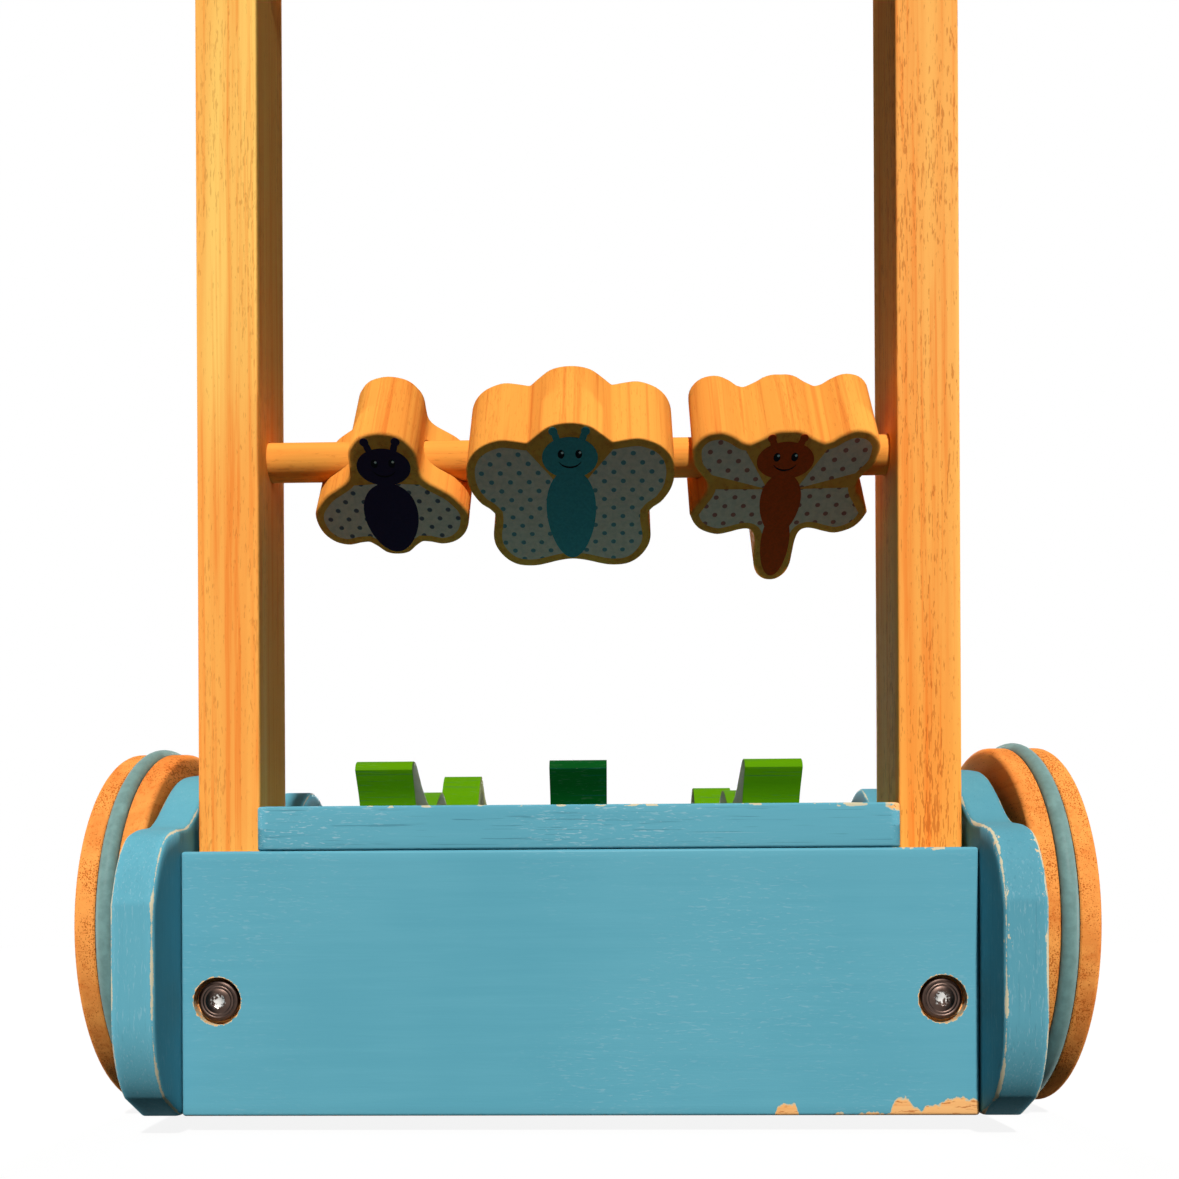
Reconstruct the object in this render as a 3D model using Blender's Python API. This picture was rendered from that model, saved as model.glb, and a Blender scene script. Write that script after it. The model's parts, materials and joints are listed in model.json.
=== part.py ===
"""Wooden push toy with chomping alligators and three insects that spin on a rod.

The child walks behind it and pushes the bar at the top. The front axle carries three
cams, and each cam lifts the hinged upper jaw of one alligator. Metres, +Z up, +Y is the
way the toy is pushed, and the origin is on the floor under the middle of the toy.
"""

import math

import bmesh
import bpy
from mathutils import Vector

# Clearances
GAP = 0.0003
RUNNING_GAP = 0.0004
OVERRUN = 0.0020
MERGE = 0.000001

# Boards of the base
PANEL_THICKNESS = 0.0150
PANEL_FLOOR_GAP = 0.0066
DECK_THICKNESS = 0.0166
DECK_TONGUE_GAP = 0.0026
DECK_CORNER_RADIUS = 0.0050
BOARD_EDGE = 0.0012

# Side panels with their wave
SIDE_THICKNESS = 0.0157
SIDE_HEIGHT = 0.1463
SIDE_OVERHANG = 0.0280
SIDE_NOSE = 0.0150
SIDE_EDGE = 0.0016
SIDE_CORNER_LENGTH = 0.0312
SIDE_CORNER_HEIGHT = 0.0396

# Uprights and push bar
UPRIGHT_WIDTH = 0.0240
UPRIGHT_DEPTH = 0.0400
UPRIGHT_INSET = 0.0016
UPRIGHT_FLOOR_GAP = 0.0120
UPRIGHT_EDGE = 0.0016
BAR_HEIGHT = 0.4740
BAR_RADIUS = 0.0120
BAR_SOCKET_DEPTH = 0.0080
BAR_END_CAP = 0.0180

# Spinner rod and insects
ROD_HEIGHT = 0.2671
ROD_RADIUS = 0.00775
ROD_SOCKET_DEPTH = 0.0080
INSECT_THICKNESS = 0.0400
INSECT_EDGE = 0.0010
INSECT_TILT_DEG = 54.0
ROD_PLAY_LEFT = 0.0184
BEE_WIDTH = 0.0622
BEE_HEIGHT = 0.0556
BEE_BELOW_ROD = 0.0303
BEE_GAP = 0.0008
BUTTERFLY_WIDTH = 0.0816
BUTTERFLY_HEIGHT = 0.0650
BUTTERFLY_BELOW_ROD = 0.0367
DRAGONFLY_GAP = 0.0065
DRAGONFLY_WIDTH = 0.0718
DRAGONFLY_HEIGHT = 0.0693
DRAGONFLY_BELOW_ROD = 0.0455
ROD_PLAY_RIGHT = 0.0075

# Wheels, tyres and axles
WHEEL_RADIUS = 0.0760
WHEEL_THICKNESS = 0.0240
WHEEL_EDGE = 0.0022
WHEEL_SIDES = 28
TYRE_PROUD = 0.0025
TYRE_THICKNESS = 0.0072
AXLE_RADIUS = 0.0040
REAR_AXLE_SETBACK = 0.0750
TYRES_GAP = 0.0080
BUSH_RADIUS = 0.0070
BUSH_FLANGE_RADIUS = 0.0110
BUSH_FLANGE_THICKNESS = 0.0008
AXLE_PLAY = 0.0022
CAP_RADIUS = 0.0115
CAP_SEAT_DEPTH = 0.0030
CAP_RISE = 0.0022
CAP_EDGE = 0.0016

# Alligators
GATOR_THICKNESS = 0.0230
GATOR_SPACING = 0.0780
GATOR_SETBACK = 0.0280
HEAD_LENGTH = 0.1850
TAIL_HEIGHT = 0.0212
HEAD_HEIGHT = 0.0362
LOWER_JAW_HEIGHT = 0.0089
CHIN_DROP = 0.0080
MOUTH_GAP = 0.0010
TOOTH_DEPTH = 0.0032
TOOTH_PITCH = 0.0120
TOOTH_COUNT = 6
JAW_LEVER = 0.0400
JAW_PIVOT_RISE = 0.0104
JAW_BOSS_RADIUS = 0.0070
JAW_TONGUE_THICKNESS = 0.0080
JAW_SWING_DEG = 6.5
PIVOT_ROD_RADIUS = 0.0030
PIVOT_ROD_OVERHANG = 0.0040

# Cams on the front axle and the legs that ride on them
CAM_RADIUS = 0.0220
CAM_THICKNESS = 0.0160
CAM_PHASE_DEG = -10.2
CAM_STEP_DEG = 240.0
CAM_TO_PANEL = 0.0057
CAM_TO_DECK = 0.00462
LEG_THICKNESS = 0.0070
LEG_LENGTH = 0.0140

# Fasteners
PANEL_BOLT_HEIGHT = 0.0502
PANEL_BOLT_HEAD_RADIUS = 0.0083
PANEL_BOLT_HEAD_HEIGHT = 0.0040
PANEL_BOLT_RADIUS = 0.0032
PANEL_BOLT_LENGTH = 0.0450
BAR_BOLT_HEAD_RADIUS = 0.0070
BAR_BOLT_HEAD_HEIGHT = 0.0040
BAR_BOLT_RADIUS = 0.0030
BAR_BOLT_LENGTH = 0.0350
BOLT_HEAD_GAP = 0.0009
HEX_SOCKET_RADIUS = 0.0030
HEX_SOCKET_DEPTH = 0.0025
BARREL_NUT_RADIUS = 0.0050
BARREL_NUT_LENGTH = 0.0160
DOWEL_RADIUS = 0.0040
DOWEL_IN_PANEL = 0.0200
DOWEL_IN_SIDE = 0.0080

# Facets of the smaller round pieces
SHAFT_SIDES = 12
BAR_SIDES = 20
EAR_SIDES = 16
DOWEL_SIDES = 8
HEX_SIDES = 6
CURVE_STEPS = 2
ARC_STEPS = 4

# The wave along the top of a side panel, from its rear corner to its front corner
WAVE_SHARES = (
    (0.000, 0.540),
    (0.010, 0.610),
    (0.024, 0.670),
    (0.045, 0.718),
    (0.078, 0.742),
    (0.112, 0.755),
    (0.140, 0.792),
    (0.172, 0.850),
    (0.208, 0.900),
    (0.250, 0.926),
    (0.310, 0.935),
    (0.410, 0.885),
    (0.510, 0.838),
    (0.612, 0.872),
    (0.664, 0.935),
    (0.716, 0.992),
    (0.770, 0.990),
    (0.823, 0.940),
    (0.915, 0.815),
    (0.973, 0.742),
    (1.000, 0.640),
)

# Right halves of the insects, from the head down, across the half width and up the height
BEE_SHARES = (
    (0.000, 1.000),
    (0.235, 0.971),
    (0.361, 0.907),
    (0.426, 0.833),
    (0.457, 0.665),
    (0.605, 0.586),
    (0.790, 0.517),
    (0.965, 0.399),
    (0.999, 0.302),
    (0.940, 0.187),
    (0.795, 0.109),
    (0.600, 0.085),
    (0.354, 0.110),
    (0.161, 0.020),
    (0.000, 0.000),
)
BUTTERFLY_SHARES = (
    (0.000, 1.000),
    (0.201, 0.975),
    (0.377, 0.888),
    (0.430, 0.878),
    (0.653, 0.896),
    (0.859, 0.846),
    (0.969, 0.762),
    (1.000, 0.659),
    (0.968, 0.550),
    (0.873, 0.457),
    (0.757, 0.391),
    (0.786, 0.252),
    (0.776, 0.160),
    (0.689, 0.065),
    (0.550, 0.008),
    (0.355, 0.003),
    (0.164, 0.034),
    (0.000, 0.050),
)
DRAGONFLY_SHARES = (
    (0.000, 0.999),
    (0.149, 0.991),
    (0.392, 0.925),
    (0.534, 0.960),
    (0.685, 0.996),
    (0.869, 0.982),
    (0.993, 0.907),
    (0.971, 0.786),
    (0.853, 0.703),
    (0.820, 0.636),
    (0.976, 0.495),
    (0.975, 0.451),
    (0.882, 0.375),
    (0.663, 0.331),
    (0.409, 0.363),
    (0.293, 0.359),
    (0.235, 0.296),
    (0.203, 0.098),
    (0.116, 0.021),
    (0.000, 0.000),
)

# An alligator's back from the tail to the neck, along its body and up the tail height
BACK_SHARES = (
    (0.000, 0.580),
    (0.008, 0.888),
    (0.035, 1.000),
    (0.075, 0.954),
    (0.139, 0.709),
    (0.220, 0.454),
    (0.313, 0.342),
    (0.401, 0.444),
    (0.471, 0.709),
    (0.536, 0.857),
    (0.600, 0.735),
    (0.668, 0.505),
    (0.749, 0.408),
    (0.836, 0.505),
    (0.907, 0.709),
)

# The head from the pivot to the snout, from the pivot to the nose and up the head height
HEAD_SHARES = (
    (0.120, 0.500),
    (0.280, 0.478),
    (0.400, 0.484),
    (0.468, 0.560),
    (0.522, 0.815),
    (0.575, 1.000),
    (0.632, 0.970),
    (0.690, 0.790),
    (0.760, 0.672),
    (0.840, 0.690),
    (0.905, 0.790),
    (0.955, 0.750),
    (0.992, 0.560),
    (1.000, 0.400),
)

# The chin under the lower jaw, from the snout back, along its reach and down its drop
CHIN_SHARES = (
    (1.000, 0.350),
    (0.960, 0.850),
    (0.860, 1.000),
    (0.500, 0.900),
    (0.160, 0.860),
    (0.050, 0.450),
)

# Places that follow from the sizes
INSECTS_WIDTH = BEE_WIDTH + BEE_GAP + BUTTERFLY_WIDTH + DRAGONFLY_GAP + DRAGONFLY_WIDTH
ROD_SPAN = ROD_PLAY_LEFT + INSECTS_WIDTH + ROD_PLAY_RIGHT
BASE_WIDTH = ROD_SPAN + 2 * (UPRIGHT_WIDTH + UPRIGHT_INSET)
TYRE_RADIUS = WHEEL_RADIUS + TYRE_PROUD
AXLE_SPACING = 2 * TYRE_RADIUS + TYRES_GAP
PIVOT_SETBACK = REAR_AXLE_SETBACK + AXLE_SPACING - JAW_LEVER
OVERALL_LENGTH = SIDE_OVERHANG + PIVOT_SETBACK + HEAD_LENGTH
BACK_FACE_Y = SIDE_OVERHANG - OVERALL_LENGTH / 2
AXLE_Z = TYRE_RADIUS * math.cos(math.pi / WHEEL_SIDES)
REAR_AXLE_Y = BACK_FACE_Y + REAR_AXLE_SETBACK
FRONT_AXLE_Y = REAR_AXLE_Y + AXLE_SPACING
CAM_THROW = JAW_LEVER * math.tan(math.radians(JAW_SWING_DEG / 2))
PANEL_TOP_Z = AXLE_Z + CAM_RADIUS + CAM_THROW + CAM_TO_DECK
PANEL_HEIGHT = PANEL_TOP_Z - PANEL_FLOOR_GAP
DECK_Z = PANEL_TOP_Z + GAP
DECK_TOP_Z = DECK_Z + DECK_THICKNESS
SIDE_INNER_X = BASE_WIDTH / 2 + GAP
SIDE_OUTER_X = SIDE_INNER_X + SIDE_THICKNESS
WHEEL_INNER_X = SIDE_OUTER_X + GAP + BUSH_FLANGE_THICKNESS + GAP + AXLE_PLAY
WHEEL_OUTER_X = WHEEL_INNER_X + WHEEL_THICKNESS
UPRIGHT_OUTER_X = BASE_WIDTH / 2 - UPRIGHT_INSET
UPRIGHT_INNER_X = UPRIGHT_OUTER_X - UPRIGHT_WIDTH
UPRIGHT_X = (UPRIGHT_OUTER_X + UPRIGHT_INNER_X) / 2
BEE_X = ROD_PLAY_LEFT + BEE_WIDTH / 2 - UPRIGHT_INNER_X
BUTTERFLY_X = BEE_X + BEE_WIDTH / 2 + BEE_GAP + BUTTERFLY_WIDTH / 2
DRAGONFLY_X = BUTTERFLY_X + BUTTERFLY_WIDTH / 2 + DRAGONFLY_GAP + DRAGONFLY_WIDTH / 2
UPRIGHT_REAR_Y = BACK_FACE_Y + PANEL_THICKNESS + GAP
UPRIGHT_FRONT_Y = UPRIGHT_REAR_Y + UPRIGHT_DEPTH
UPRIGHT_Y = (UPRIGHT_REAR_Y + UPRIGHT_FRONT_Y) / 2
GATOR_REAR_Y = BACK_FACE_Y + GATOR_SETBACK
GATOR_FLOOR_Z = DECK_TOP_Z + GAP
PIVOT_Y = BACK_FACE_Y + PIVOT_SETBACK
PIVOT_Z = DECK_TOP_Z + JAW_PIVOT_RISE
NOSE_Y = PIVOT_Y + HEAD_LENGTH
DECK_FRONT_Y = FRONT_AXLE_Y + CAM_RADIUS + CAM_THROW + CAM_TO_PANEL + PANEL_THICKNESS
SIDE_LENGTH = SIDE_OVERHANG + DECK_FRONT_Y - BACK_FACE_Y + SIDE_NOSE
LEG_BOTTOM_Z = AXLE_Z + CAM_RADIUS + CAM_THROW + RUNNING_GAP
GATOR_NAMES = ("left", "middle", "right")

# Colours, linear
BLUE_PAINT = (0.085, 0.380, 0.480, 1.0)
PLAIN_WOOD = (0.720, 0.400, 0.150, 1.0)
LIME_PAINT = (0.150, 0.400, 0.010, 1.0)
GREEN_PAINT = (0.010, 0.130, 0.030, 1.0)
TYRE_RUBBER = (0.190, 0.350, 0.330, 1.0)
DARK_STEEL = (0.130, 0.110, 0.100, 1.0)
BRIGHT_STEEL = (0.550, 0.550, 0.540, 1.0)
BUSH_NYLON = (0.800, 0.790, 0.750, 1.0)


def clear_scene():
    for thing in list(bpy.data.objects):
        bpy.data.objects.remove(thing, do_unlink=True)


def make_material(name, colour, roughness, metallic):
    material = bpy.data.materials.new(name)
    material.use_nodes = True
    shader = material.node_tree.nodes["Principled BSDF"]
    shader.inputs["Base Color"].default_value = colour
    shader.inputs["Roughness"].default_value = roughness
    shader.inputs["Metallic"].default_value = metallic
    return material


def add_object(name, bm, material, location=(0, 0, 0)):
    """Turns a bmesh into a named object with its faces outwards and its round sides smooth."""
    bmesh.ops.remove_doubles(bm, verts=bm.verts, dist=MERGE)
    bmesh.ops.recalc_face_normals(bm, faces=bm.faces)
    mesh = bpy.data.meshes.new(name)
    bm.to_mesh(mesh)
    bm.free()
    mesh.shade_smooth()
    mesh.set_sharp_from_angle(angle=math.radians(35))
    thing = bpy.data.objects.new(name, mesh)
    thing.location = location
    bpy.context.scene.collection.objects.link(thing)
    if material is not None:
        mesh.materials.append(material)
    return thing


def plate_into(bm, outline, low, high, across):
    """Extrudes a flat outline. Across is the axis that it is extruded along."""
    places = {
        "X": lambda a, b: (low, a, b),
        "Y": lambda a, b: (a, low, b),
        "Z": lambda a, b: (a, b, low),
    }
    along = {"X": (1, 0, 0), "Y": (0, 1, 0), "Z": (0, 0, 1)}
    face = bm.faces.new([bm.verts.new(places[across](a, b)) for a, b in outline])
    raised = bmesh.ops.extrude_face_region(bm, geom=[face])
    tops = [part for part in raised["geom"] if isinstance(part, bmesh.types.BMVert)]
    bmesh.ops.translate(bm, verts=tops, vec=Vector(along[across]) * (high - low))


def turned_into(bm, profile, along, centre, sides, ring=False):
    """Spins a profile of (distance along the axis, radius). A ring's profile is closed."""
    axis = Vector({"X": (1, 0, 0), "Y": (0, 1, 0), "Z": (0, 0, 1)}[along])
    half_step = math.pi / sides
    outward = {
        "X": Vector((0, math.sin(half_step), -math.cos(half_step))),
        "Y": Vector((math.sin(half_step), 0, -math.cos(half_step))),
        "Z": Vector((math.cos(half_step), math.sin(half_step), 0)),
    }[along]
    verts = [bm.verts.new(Vector(centre) + axis * a + outward * r) for a, r in profile]
    pairs = list(zip(verts, verts[1:]))
    if ring:
        pairs.append((verts[-1], verts[0]))
    edges = [bm.edges.new(pair) for pair in pairs]
    bmesh.ops.spin(
        bm,
        geom=verts + edges,
        cent=centre,
        axis=axis,
        angle=math.tau,
        steps=sides,
        use_duplicate=False,
    )


def rod_into(bm, along, centre, low, high, radius, sides):
    turned_into(bm, ((low, 0), (low, radius), (high, radius), (high, 0)), along, centre, sides)


def box_into(bm, low, high):
    outline = ((low[0], low[1]), (high[0], low[1]), (high[0], high[1]), (low[0], high[1]))
    plate_into(bm, outline, low[2], high[2], "Z")


def bevel_edges(thing, width):
    bevel = thing.modifiers.new("Edge", "BEVEL")
    bevel.width = width
    bevel.segments = 1
    bevel.limit_method = "ANGLE"
    bevel.angle_limit = math.radians(50)


def cutter_from(name, bm):
    """A guide solid that Booleans use. It is never part of the toy."""
    cutter = add_object(name, bm, None)
    cutter.hide_render = True
    cutter.display_type = "WIRE"
    return cutter


def boolean(thing, cutter, operation="DIFFERENCE"):
    step = thing.modifiers.new(cutter.name, "BOOLEAN")
    step.operation = operation
    step.solver = "EXACT"
    step.object = cutter


def curve_through(points, steps):
    """A smooth open line through the points, as a Catmull-Rom curve."""
    knots = [Vector(point) for point in points]
    line = []
    for i in range(len(knots) - 1):
        before = knots[max(i - 1, 0)]
        start, end = knots[i], knots[i + 1]
        after = knots[min(i + 2, len(knots) - 1)]
        for step in range(steps):
            t = step / steps
            bend = 2 * before - 5 * start + 4 * end - after
            twist = 3 * (start - end) + after - before
            line.append(start + (t * (end - before) + t * t * bend + t**3 * twist) / 2)
    line.append(knots[-1])
    return [(point.x, point.y) for point in line]


def both_halves(half, steps):
    """A smooth closed outline from its right half, which starts and ends on the middle line."""
    before, after = [(-a, b) for a, b in (half[1], half[-2])]
    right = curve_through([before, *half, after], steps)[steps:-steps]
    return right + [(-a, b) for a, b in reversed(right[1:-1])]


def arc(centre, across, up, start_deg, end_deg, steps):
    """Points on an ellipse, from one angle to the other, both ends included."""
    turns = [math.radians(start_deg + (end_deg - start_deg) * i / steps) for i in range(steps + 1)]
    return [(centre[0] + across * math.cos(t), centre[1] + up * math.sin(t)) for t in turns]


def mirrored(side, x):
    return x if side == "right" else -x


def build_panels(paint):
    """The back and front boards, which stand between the side panels."""
    fronts = {"back_panel": BACK_FACE_Y, "front_panel": DECK_FRONT_Y - PANEL_THICKNESS}
    panels = {}
    for name, rear_y in fronts.items():
        bm = bmesh.new()
        low = (-BASE_WIDTH / 2, rear_y, PANEL_FLOOR_GAP)
        high = (BASE_WIDTH / 2, rear_y + PANEL_THICKNESS, PANEL_TOP_Z)
        box_into(bm, low, high)
        panels[name] = add_object(name, bm, paint)
        bevel_edges(panels[name], BOARD_EDGE)
    return panels


def build_deck(paint):
    """The board that the alligators lie on. Its rear tongue fits between the uprights."""
    tongue = UPRIGHT_INNER_X - DECK_TONGUE_GAP
    corner = DECK_CORNER_RADIUS
    notch_y = UPRIGHT_FRONT_Y + GAP
    half = [(BASE_WIDTH / 2, DECK_FRONT_Y), (BASE_WIDTH / 2, notch_y), (tongue, notch_y)]
    centre = (tongue - corner, BACK_FACE_Y + corner)
    half += arc(centre, corner, corner, 0, -90, ARC_STEPS)
    outline = half + [(-x, y) for x, y in reversed(half)]
    bm = bmesh.new()
    plate_into(bm, outline, DECK_Z, DECK_TOP_Z, "Z")
    deck = add_object("deck_board", bm, paint)
    bevel_edges(deck, BOARD_EDGE)
    return deck


def side_outline():
    rear_y = BACK_FACE_Y - SIDE_OVERHANG
    front_y = rear_y + SIDE_LENGTH
    low_z = PANEL_FLOOR_GAP
    knots = [(rear_y + SIDE_LENGTH * u, low_z + SIDE_HEIGHT * v) for u, v in WAVE_SHARES]
    across, up = SIDE_CORNER_LENGTH, SIDE_CORNER_HEIGHT
    front = arc((front_y - across, low_z + up), across, up, 0, -90, ARC_STEPS)
    rear = arc((rear_y + across, low_z + up), across, up, -90, -180, ARC_STEPS)
    return curve_through(knots, CURVE_STEPS) + front + rear


def build_sides(paint):
    sides = {}
    for side in ("left", "right"):
        low, high = sorted((mirrored(side, SIDE_INNER_X), mirrored(side, SIDE_OUTER_X)))
        bm = bmesh.new()
        plate_into(bm, side_outline(), low, high, "X")
        sides[side] = add_object(f"side_panel_{side}", bm, paint)
        bevel_edges(sides[side], SIDE_EDGE)
        bm = bmesh.new()
        for axle_y in (REAR_AXLE_Y, FRONT_AXLE_Y):
            centre = (0, axle_y, AXLE_Z)
            reach = (low - OVERRUN, high + OVERRUN)
            rod_into(bm, "X", centre, *reach, BUSH_RADIUS + GAP, SHAFT_SIDES)
        boolean(sides[side], cutter_from(f"bush_holes_{side}", bm))
    return sides


def build_dowels(wood, panels, sides):
    """Hidden dowels that pin the ends of both boards to the side panels."""
    boards = {"back": BACK_FACE_Y, "front": DECK_FRONT_Y - PANEL_THICKNESS}
    height_shares = {"low": 0.25, "high": 0.75}
    for side in ("left", "right"):
        holes = bmesh.new()
        deep = mirrored(side, SIDE_INNER_X - DOWEL_IN_PANEL)
        shallow = mirrored(side, SIDE_INNER_X + DOWEL_IN_SIDE)
        low, high = sorted((deep, shallow))
        for board, board_y in boards.items():
            for level, share in height_shares.items():
                height = PANEL_FLOOR_GAP + PANEL_HEIGHT * share
                centre = (0, board_y + PANEL_THICKNESS / 2, height)
                dowel = bmesh.new()
                rod_into(dowel, "X", centre, low, high, DOWEL_RADIUS, DOWEL_SIDES)
                add_object(f"dowel_{board}_{side}_{level}", dowel, wood)
                reach = (low - GAP, high + GAP)
                rod_into(holes, "X", centre, *reach, DOWEL_RADIUS + GAP, DOWEL_SIDES)
        cutter = cutter_from(f"dowel_holes_{side}", holes)
        for piece in (*panels.values(), sides[side]):
            boolean(piece, cutter)


def build_uprights(wood):
    """The two posts, each with a round top about the bar's end."""
    uprights = {}
    for side in ("left", "right"):
        low, high = sorted((mirrored(side, UPRIGHT_INNER_X), mirrored(side, UPRIGHT_OUTER_X)))
        outline = [(UPRIGHT_FRONT_Y, UPRIGHT_FLOOR_GAP)]
        round_top = (UPRIGHT_Y, BAR_HEIGHT)
        outline += arc(round_top, UPRIGHT_DEPTH / 2, BAR_END_CAP, 0, 180, 2 * ARC_STEPS)
        outline += [(UPRIGHT_REAR_Y, UPRIGHT_FLOOR_GAP)]
        bm = bmesh.new()
        plate_into(bm, outline, low, high, "X")
        uprights[side] = add_object(f"upright_{side}", bm, wood)
        bevel_edges(uprights[side], UPRIGHT_EDGE)
    return uprights


def build_rods(wood, uprights):
    """The push bar and the spinner rod, each let into blind sockets in the uprights."""
    bars = {
        "push_bar": (BAR_HEIGHT, BAR_RADIUS, BAR_SOCKET_DEPTH, BAR_SIDES),
        "spinner_rod": (ROD_HEIGHT, ROD_RADIUS, ROD_SOCKET_DEPTH, BAR_SIDES),
    }
    made = {}
    for name, (height, radius, depth, sides) in bars.items():
        centre = (0, UPRIGHT_Y, height)
        end = UPRIGHT_INNER_X + depth
        bm = bmesh.new()
        rod_into(bm, "X", centre, -end, end, radius, sides)
        made[name] = add_object(name, bm, wood)
        for side, upright in uprights.items():
            low, high = sorted((mirrored(side, UPRIGHT_INNER_X - OVERRUN), mirrored(side, end + GAP)))
            hole = bmesh.new()
            rod_into(hole, "X", centre, low, high, radius + GAP, sides)
            boolean(upright, cutter_from(f"{name}_socket_{side}", hole))
    return made


def bolt_into(bm, along, centre, start, sign, head, shank, length):
    """A cap screw. Head and shank are (radius, height) and radius, and sign its direction."""
    head_radius, head_height = head
    edge = head_height / 4
    profile = (
        (start, 0),
        (start, head_radius - edge),
        (start + sign * edge, head_radius),
        (start + sign * head_height, head_radius),
        (start + sign * head_height, shank),
        (start + sign * length, shank),
        (start + sign * length, 0),
    )
    turned_into(bm, profile, along, centre, SHAFT_SIDES)


def build_panel_bolts(steel, panels, uprights):
    """Bolts through the back panel into a barrel nut in each upright."""
    head = (PANEL_BOLT_HEAD_RADIUS, PANEL_BOLT_HEAD_HEIGHT)
    sockets, holes, nut_holes, threads = (bmesh.new() for _ in range(4))
    bolts, nuts = [], []
    seat_y = BACK_FACE_Y + BOLT_HEAD_GAP
    seat_end = seat_y + PANEL_BOLT_HEAD_HEIGHT + GAP
    tip_y = seat_y + PANEL_BOLT_LENGTH
    nut_y = tip_y - BARREL_NUT_RADIUS - GAP
    for side in ("left", "right"):
        x = mirrored(side, UPRIGHT_X)
        centre = (x, 0, PANEL_BOLT_HEIGHT)
        bolt = bmesh.new()
        bolt_into(bolt, "Y", centre, seat_y, 1, head, PANEL_BOLT_RADIUS, PANEL_BOLT_LENGTH)
        bolts.append(add_object(f"panel_bolt_{side}", bolt, steel))
        socket = (seat_y - OVERRUN, seat_y + HEX_SOCKET_DEPTH, HEX_SOCKET_RADIUS, HEX_SIDES)
        rod_into(sockets, "Y", centre, *socket)
        mouth = BACK_FACE_Y - OVERRUN
        wide = PANEL_BOLT_HEAD_RADIUS + BOLT_HEAD_GAP
        thin = PANEL_BOLT_RADIUS + GAP
        profile = ((mouth, 0), (mouth, wide), (seat_end, wide), (seat_end, thin))
        profile += ((tip_y + OVERRUN, thin), (tip_y + OVERRUN, 0))
        turned_into(holes, profile, "Y", centre, SHAFT_SIDES)
        rod_into(threads, "Y", centre, seat_y, tip_y + OVERRUN, thin, SHAFT_SIDES)
        nut_centre = (0, nut_y, PANEL_BOLT_HEIGHT)
        inner = UPRIGHT_X - BARREL_NUT_LENGTH / 2
        outer = UPRIGHT_X + BARREL_NUT_LENGTH / 2
        low, high = sorted((mirrored(side, inner), mirrored(side, outer)))
        nut = bmesh.new()
        rod_into(nut, "X", nut_centre, low, high, BARREL_NUT_RADIUS, SHAFT_SIDES)
        nuts.append(add_object(f"barrel_nut_{side}", nut, steel))
        open_end = mirrored(side, UPRIGHT_INNER_X - OVERRUN)
        low, high = sorted((open_end, mirrored(side, outer + GAP)))
        rod_into(nut_holes, "X", nut_centre, low, high, BARREL_NUT_RADIUS + GAP, SHAFT_SIDES)
    socket_cutter = cutter_from("panel_bolt_sockets", sockets)
    thread_cutter = cutter_from("barrel_nut_threads", threads)
    for bolt, nut in zip(bolts, nuts):
        boolean(bolt, socket_cutter)
        boolean(nut, thread_cutter)
    bolt_holes = cutter_from("panel_bolt_holes", holes)
    nut_seats = cutter_from("barrel_nut_seats", nut_holes)
    boolean(panels["back_panel"], bolt_holes)
    for upright in uprights.values():
        boolean(upright, nut_seats)
        boolean(upright, bolt_holes)


def build_bar_bolts(steel, bar, uprights):
    """Bolts through the uprights into the ends of the push bar."""
    head = (BAR_BOLT_HEAD_RADIUS, BAR_BOLT_HEAD_HEIGHT)
    sockets, holes = bmesh.new(), bmesh.new()
    bolts = []
    centre = (0, UPRIGHT_Y, BAR_HEIGHT)
    seat_x = UPRIGHT_OUTER_X - BOLT_HEAD_GAP
    for side, sign in (("left", 1), ("right", -1)):
        start = mirrored(side, seat_x)
        bolt = bmesh.new()
        bolt_into(bolt, "X", centre, start, sign, head, BAR_BOLT_RADIUS, BAR_BOLT_LENGTH)
        bolts.append(add_object(f"bar_bolt_{side}", bolt, steel))
        deep = start + sign * HEX_SOCKET_DEPTH
        low, high = sorted((start - sign * OVERRUN, deep))
        rod_into(sockets, "X", centre, low, high, HEX_SOCKET_RADIUS, HEX_SIDES)
        mouth = mirrored(side, UPRIGHT_OUTER_X + OVERRUN)
        seat = start + sign * (BAR_BOLT_HEAD_HEIGHT + GAP)
        tip = start + sign * (BAR_BOLT_LENGTH + GAP)
        wide, thin = BAR_BOLT_HEAD_RADIUS + BOLT_HEAD_GAP, BAR_BOLT_RADIUS + GAP
        profile = ((mouth, 0), (mouth, wide), (seat, wide), (seat, thin), (tip, thin), (tip, 0))
        turned_into(holes, profile, "X", centre, SHAFT_SIDES)
    socket_cutter = cutter_from("bar_bolt_sockets", sockets)
    for bolt in bolts:
        boolean(bolt, socket_cutter)
    bolt_holes = cutter_from("bar_bolt_holes", holes)
    for piece in (bar, *uprights.values()):
        boolean(piece, bolt_holes)


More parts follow.
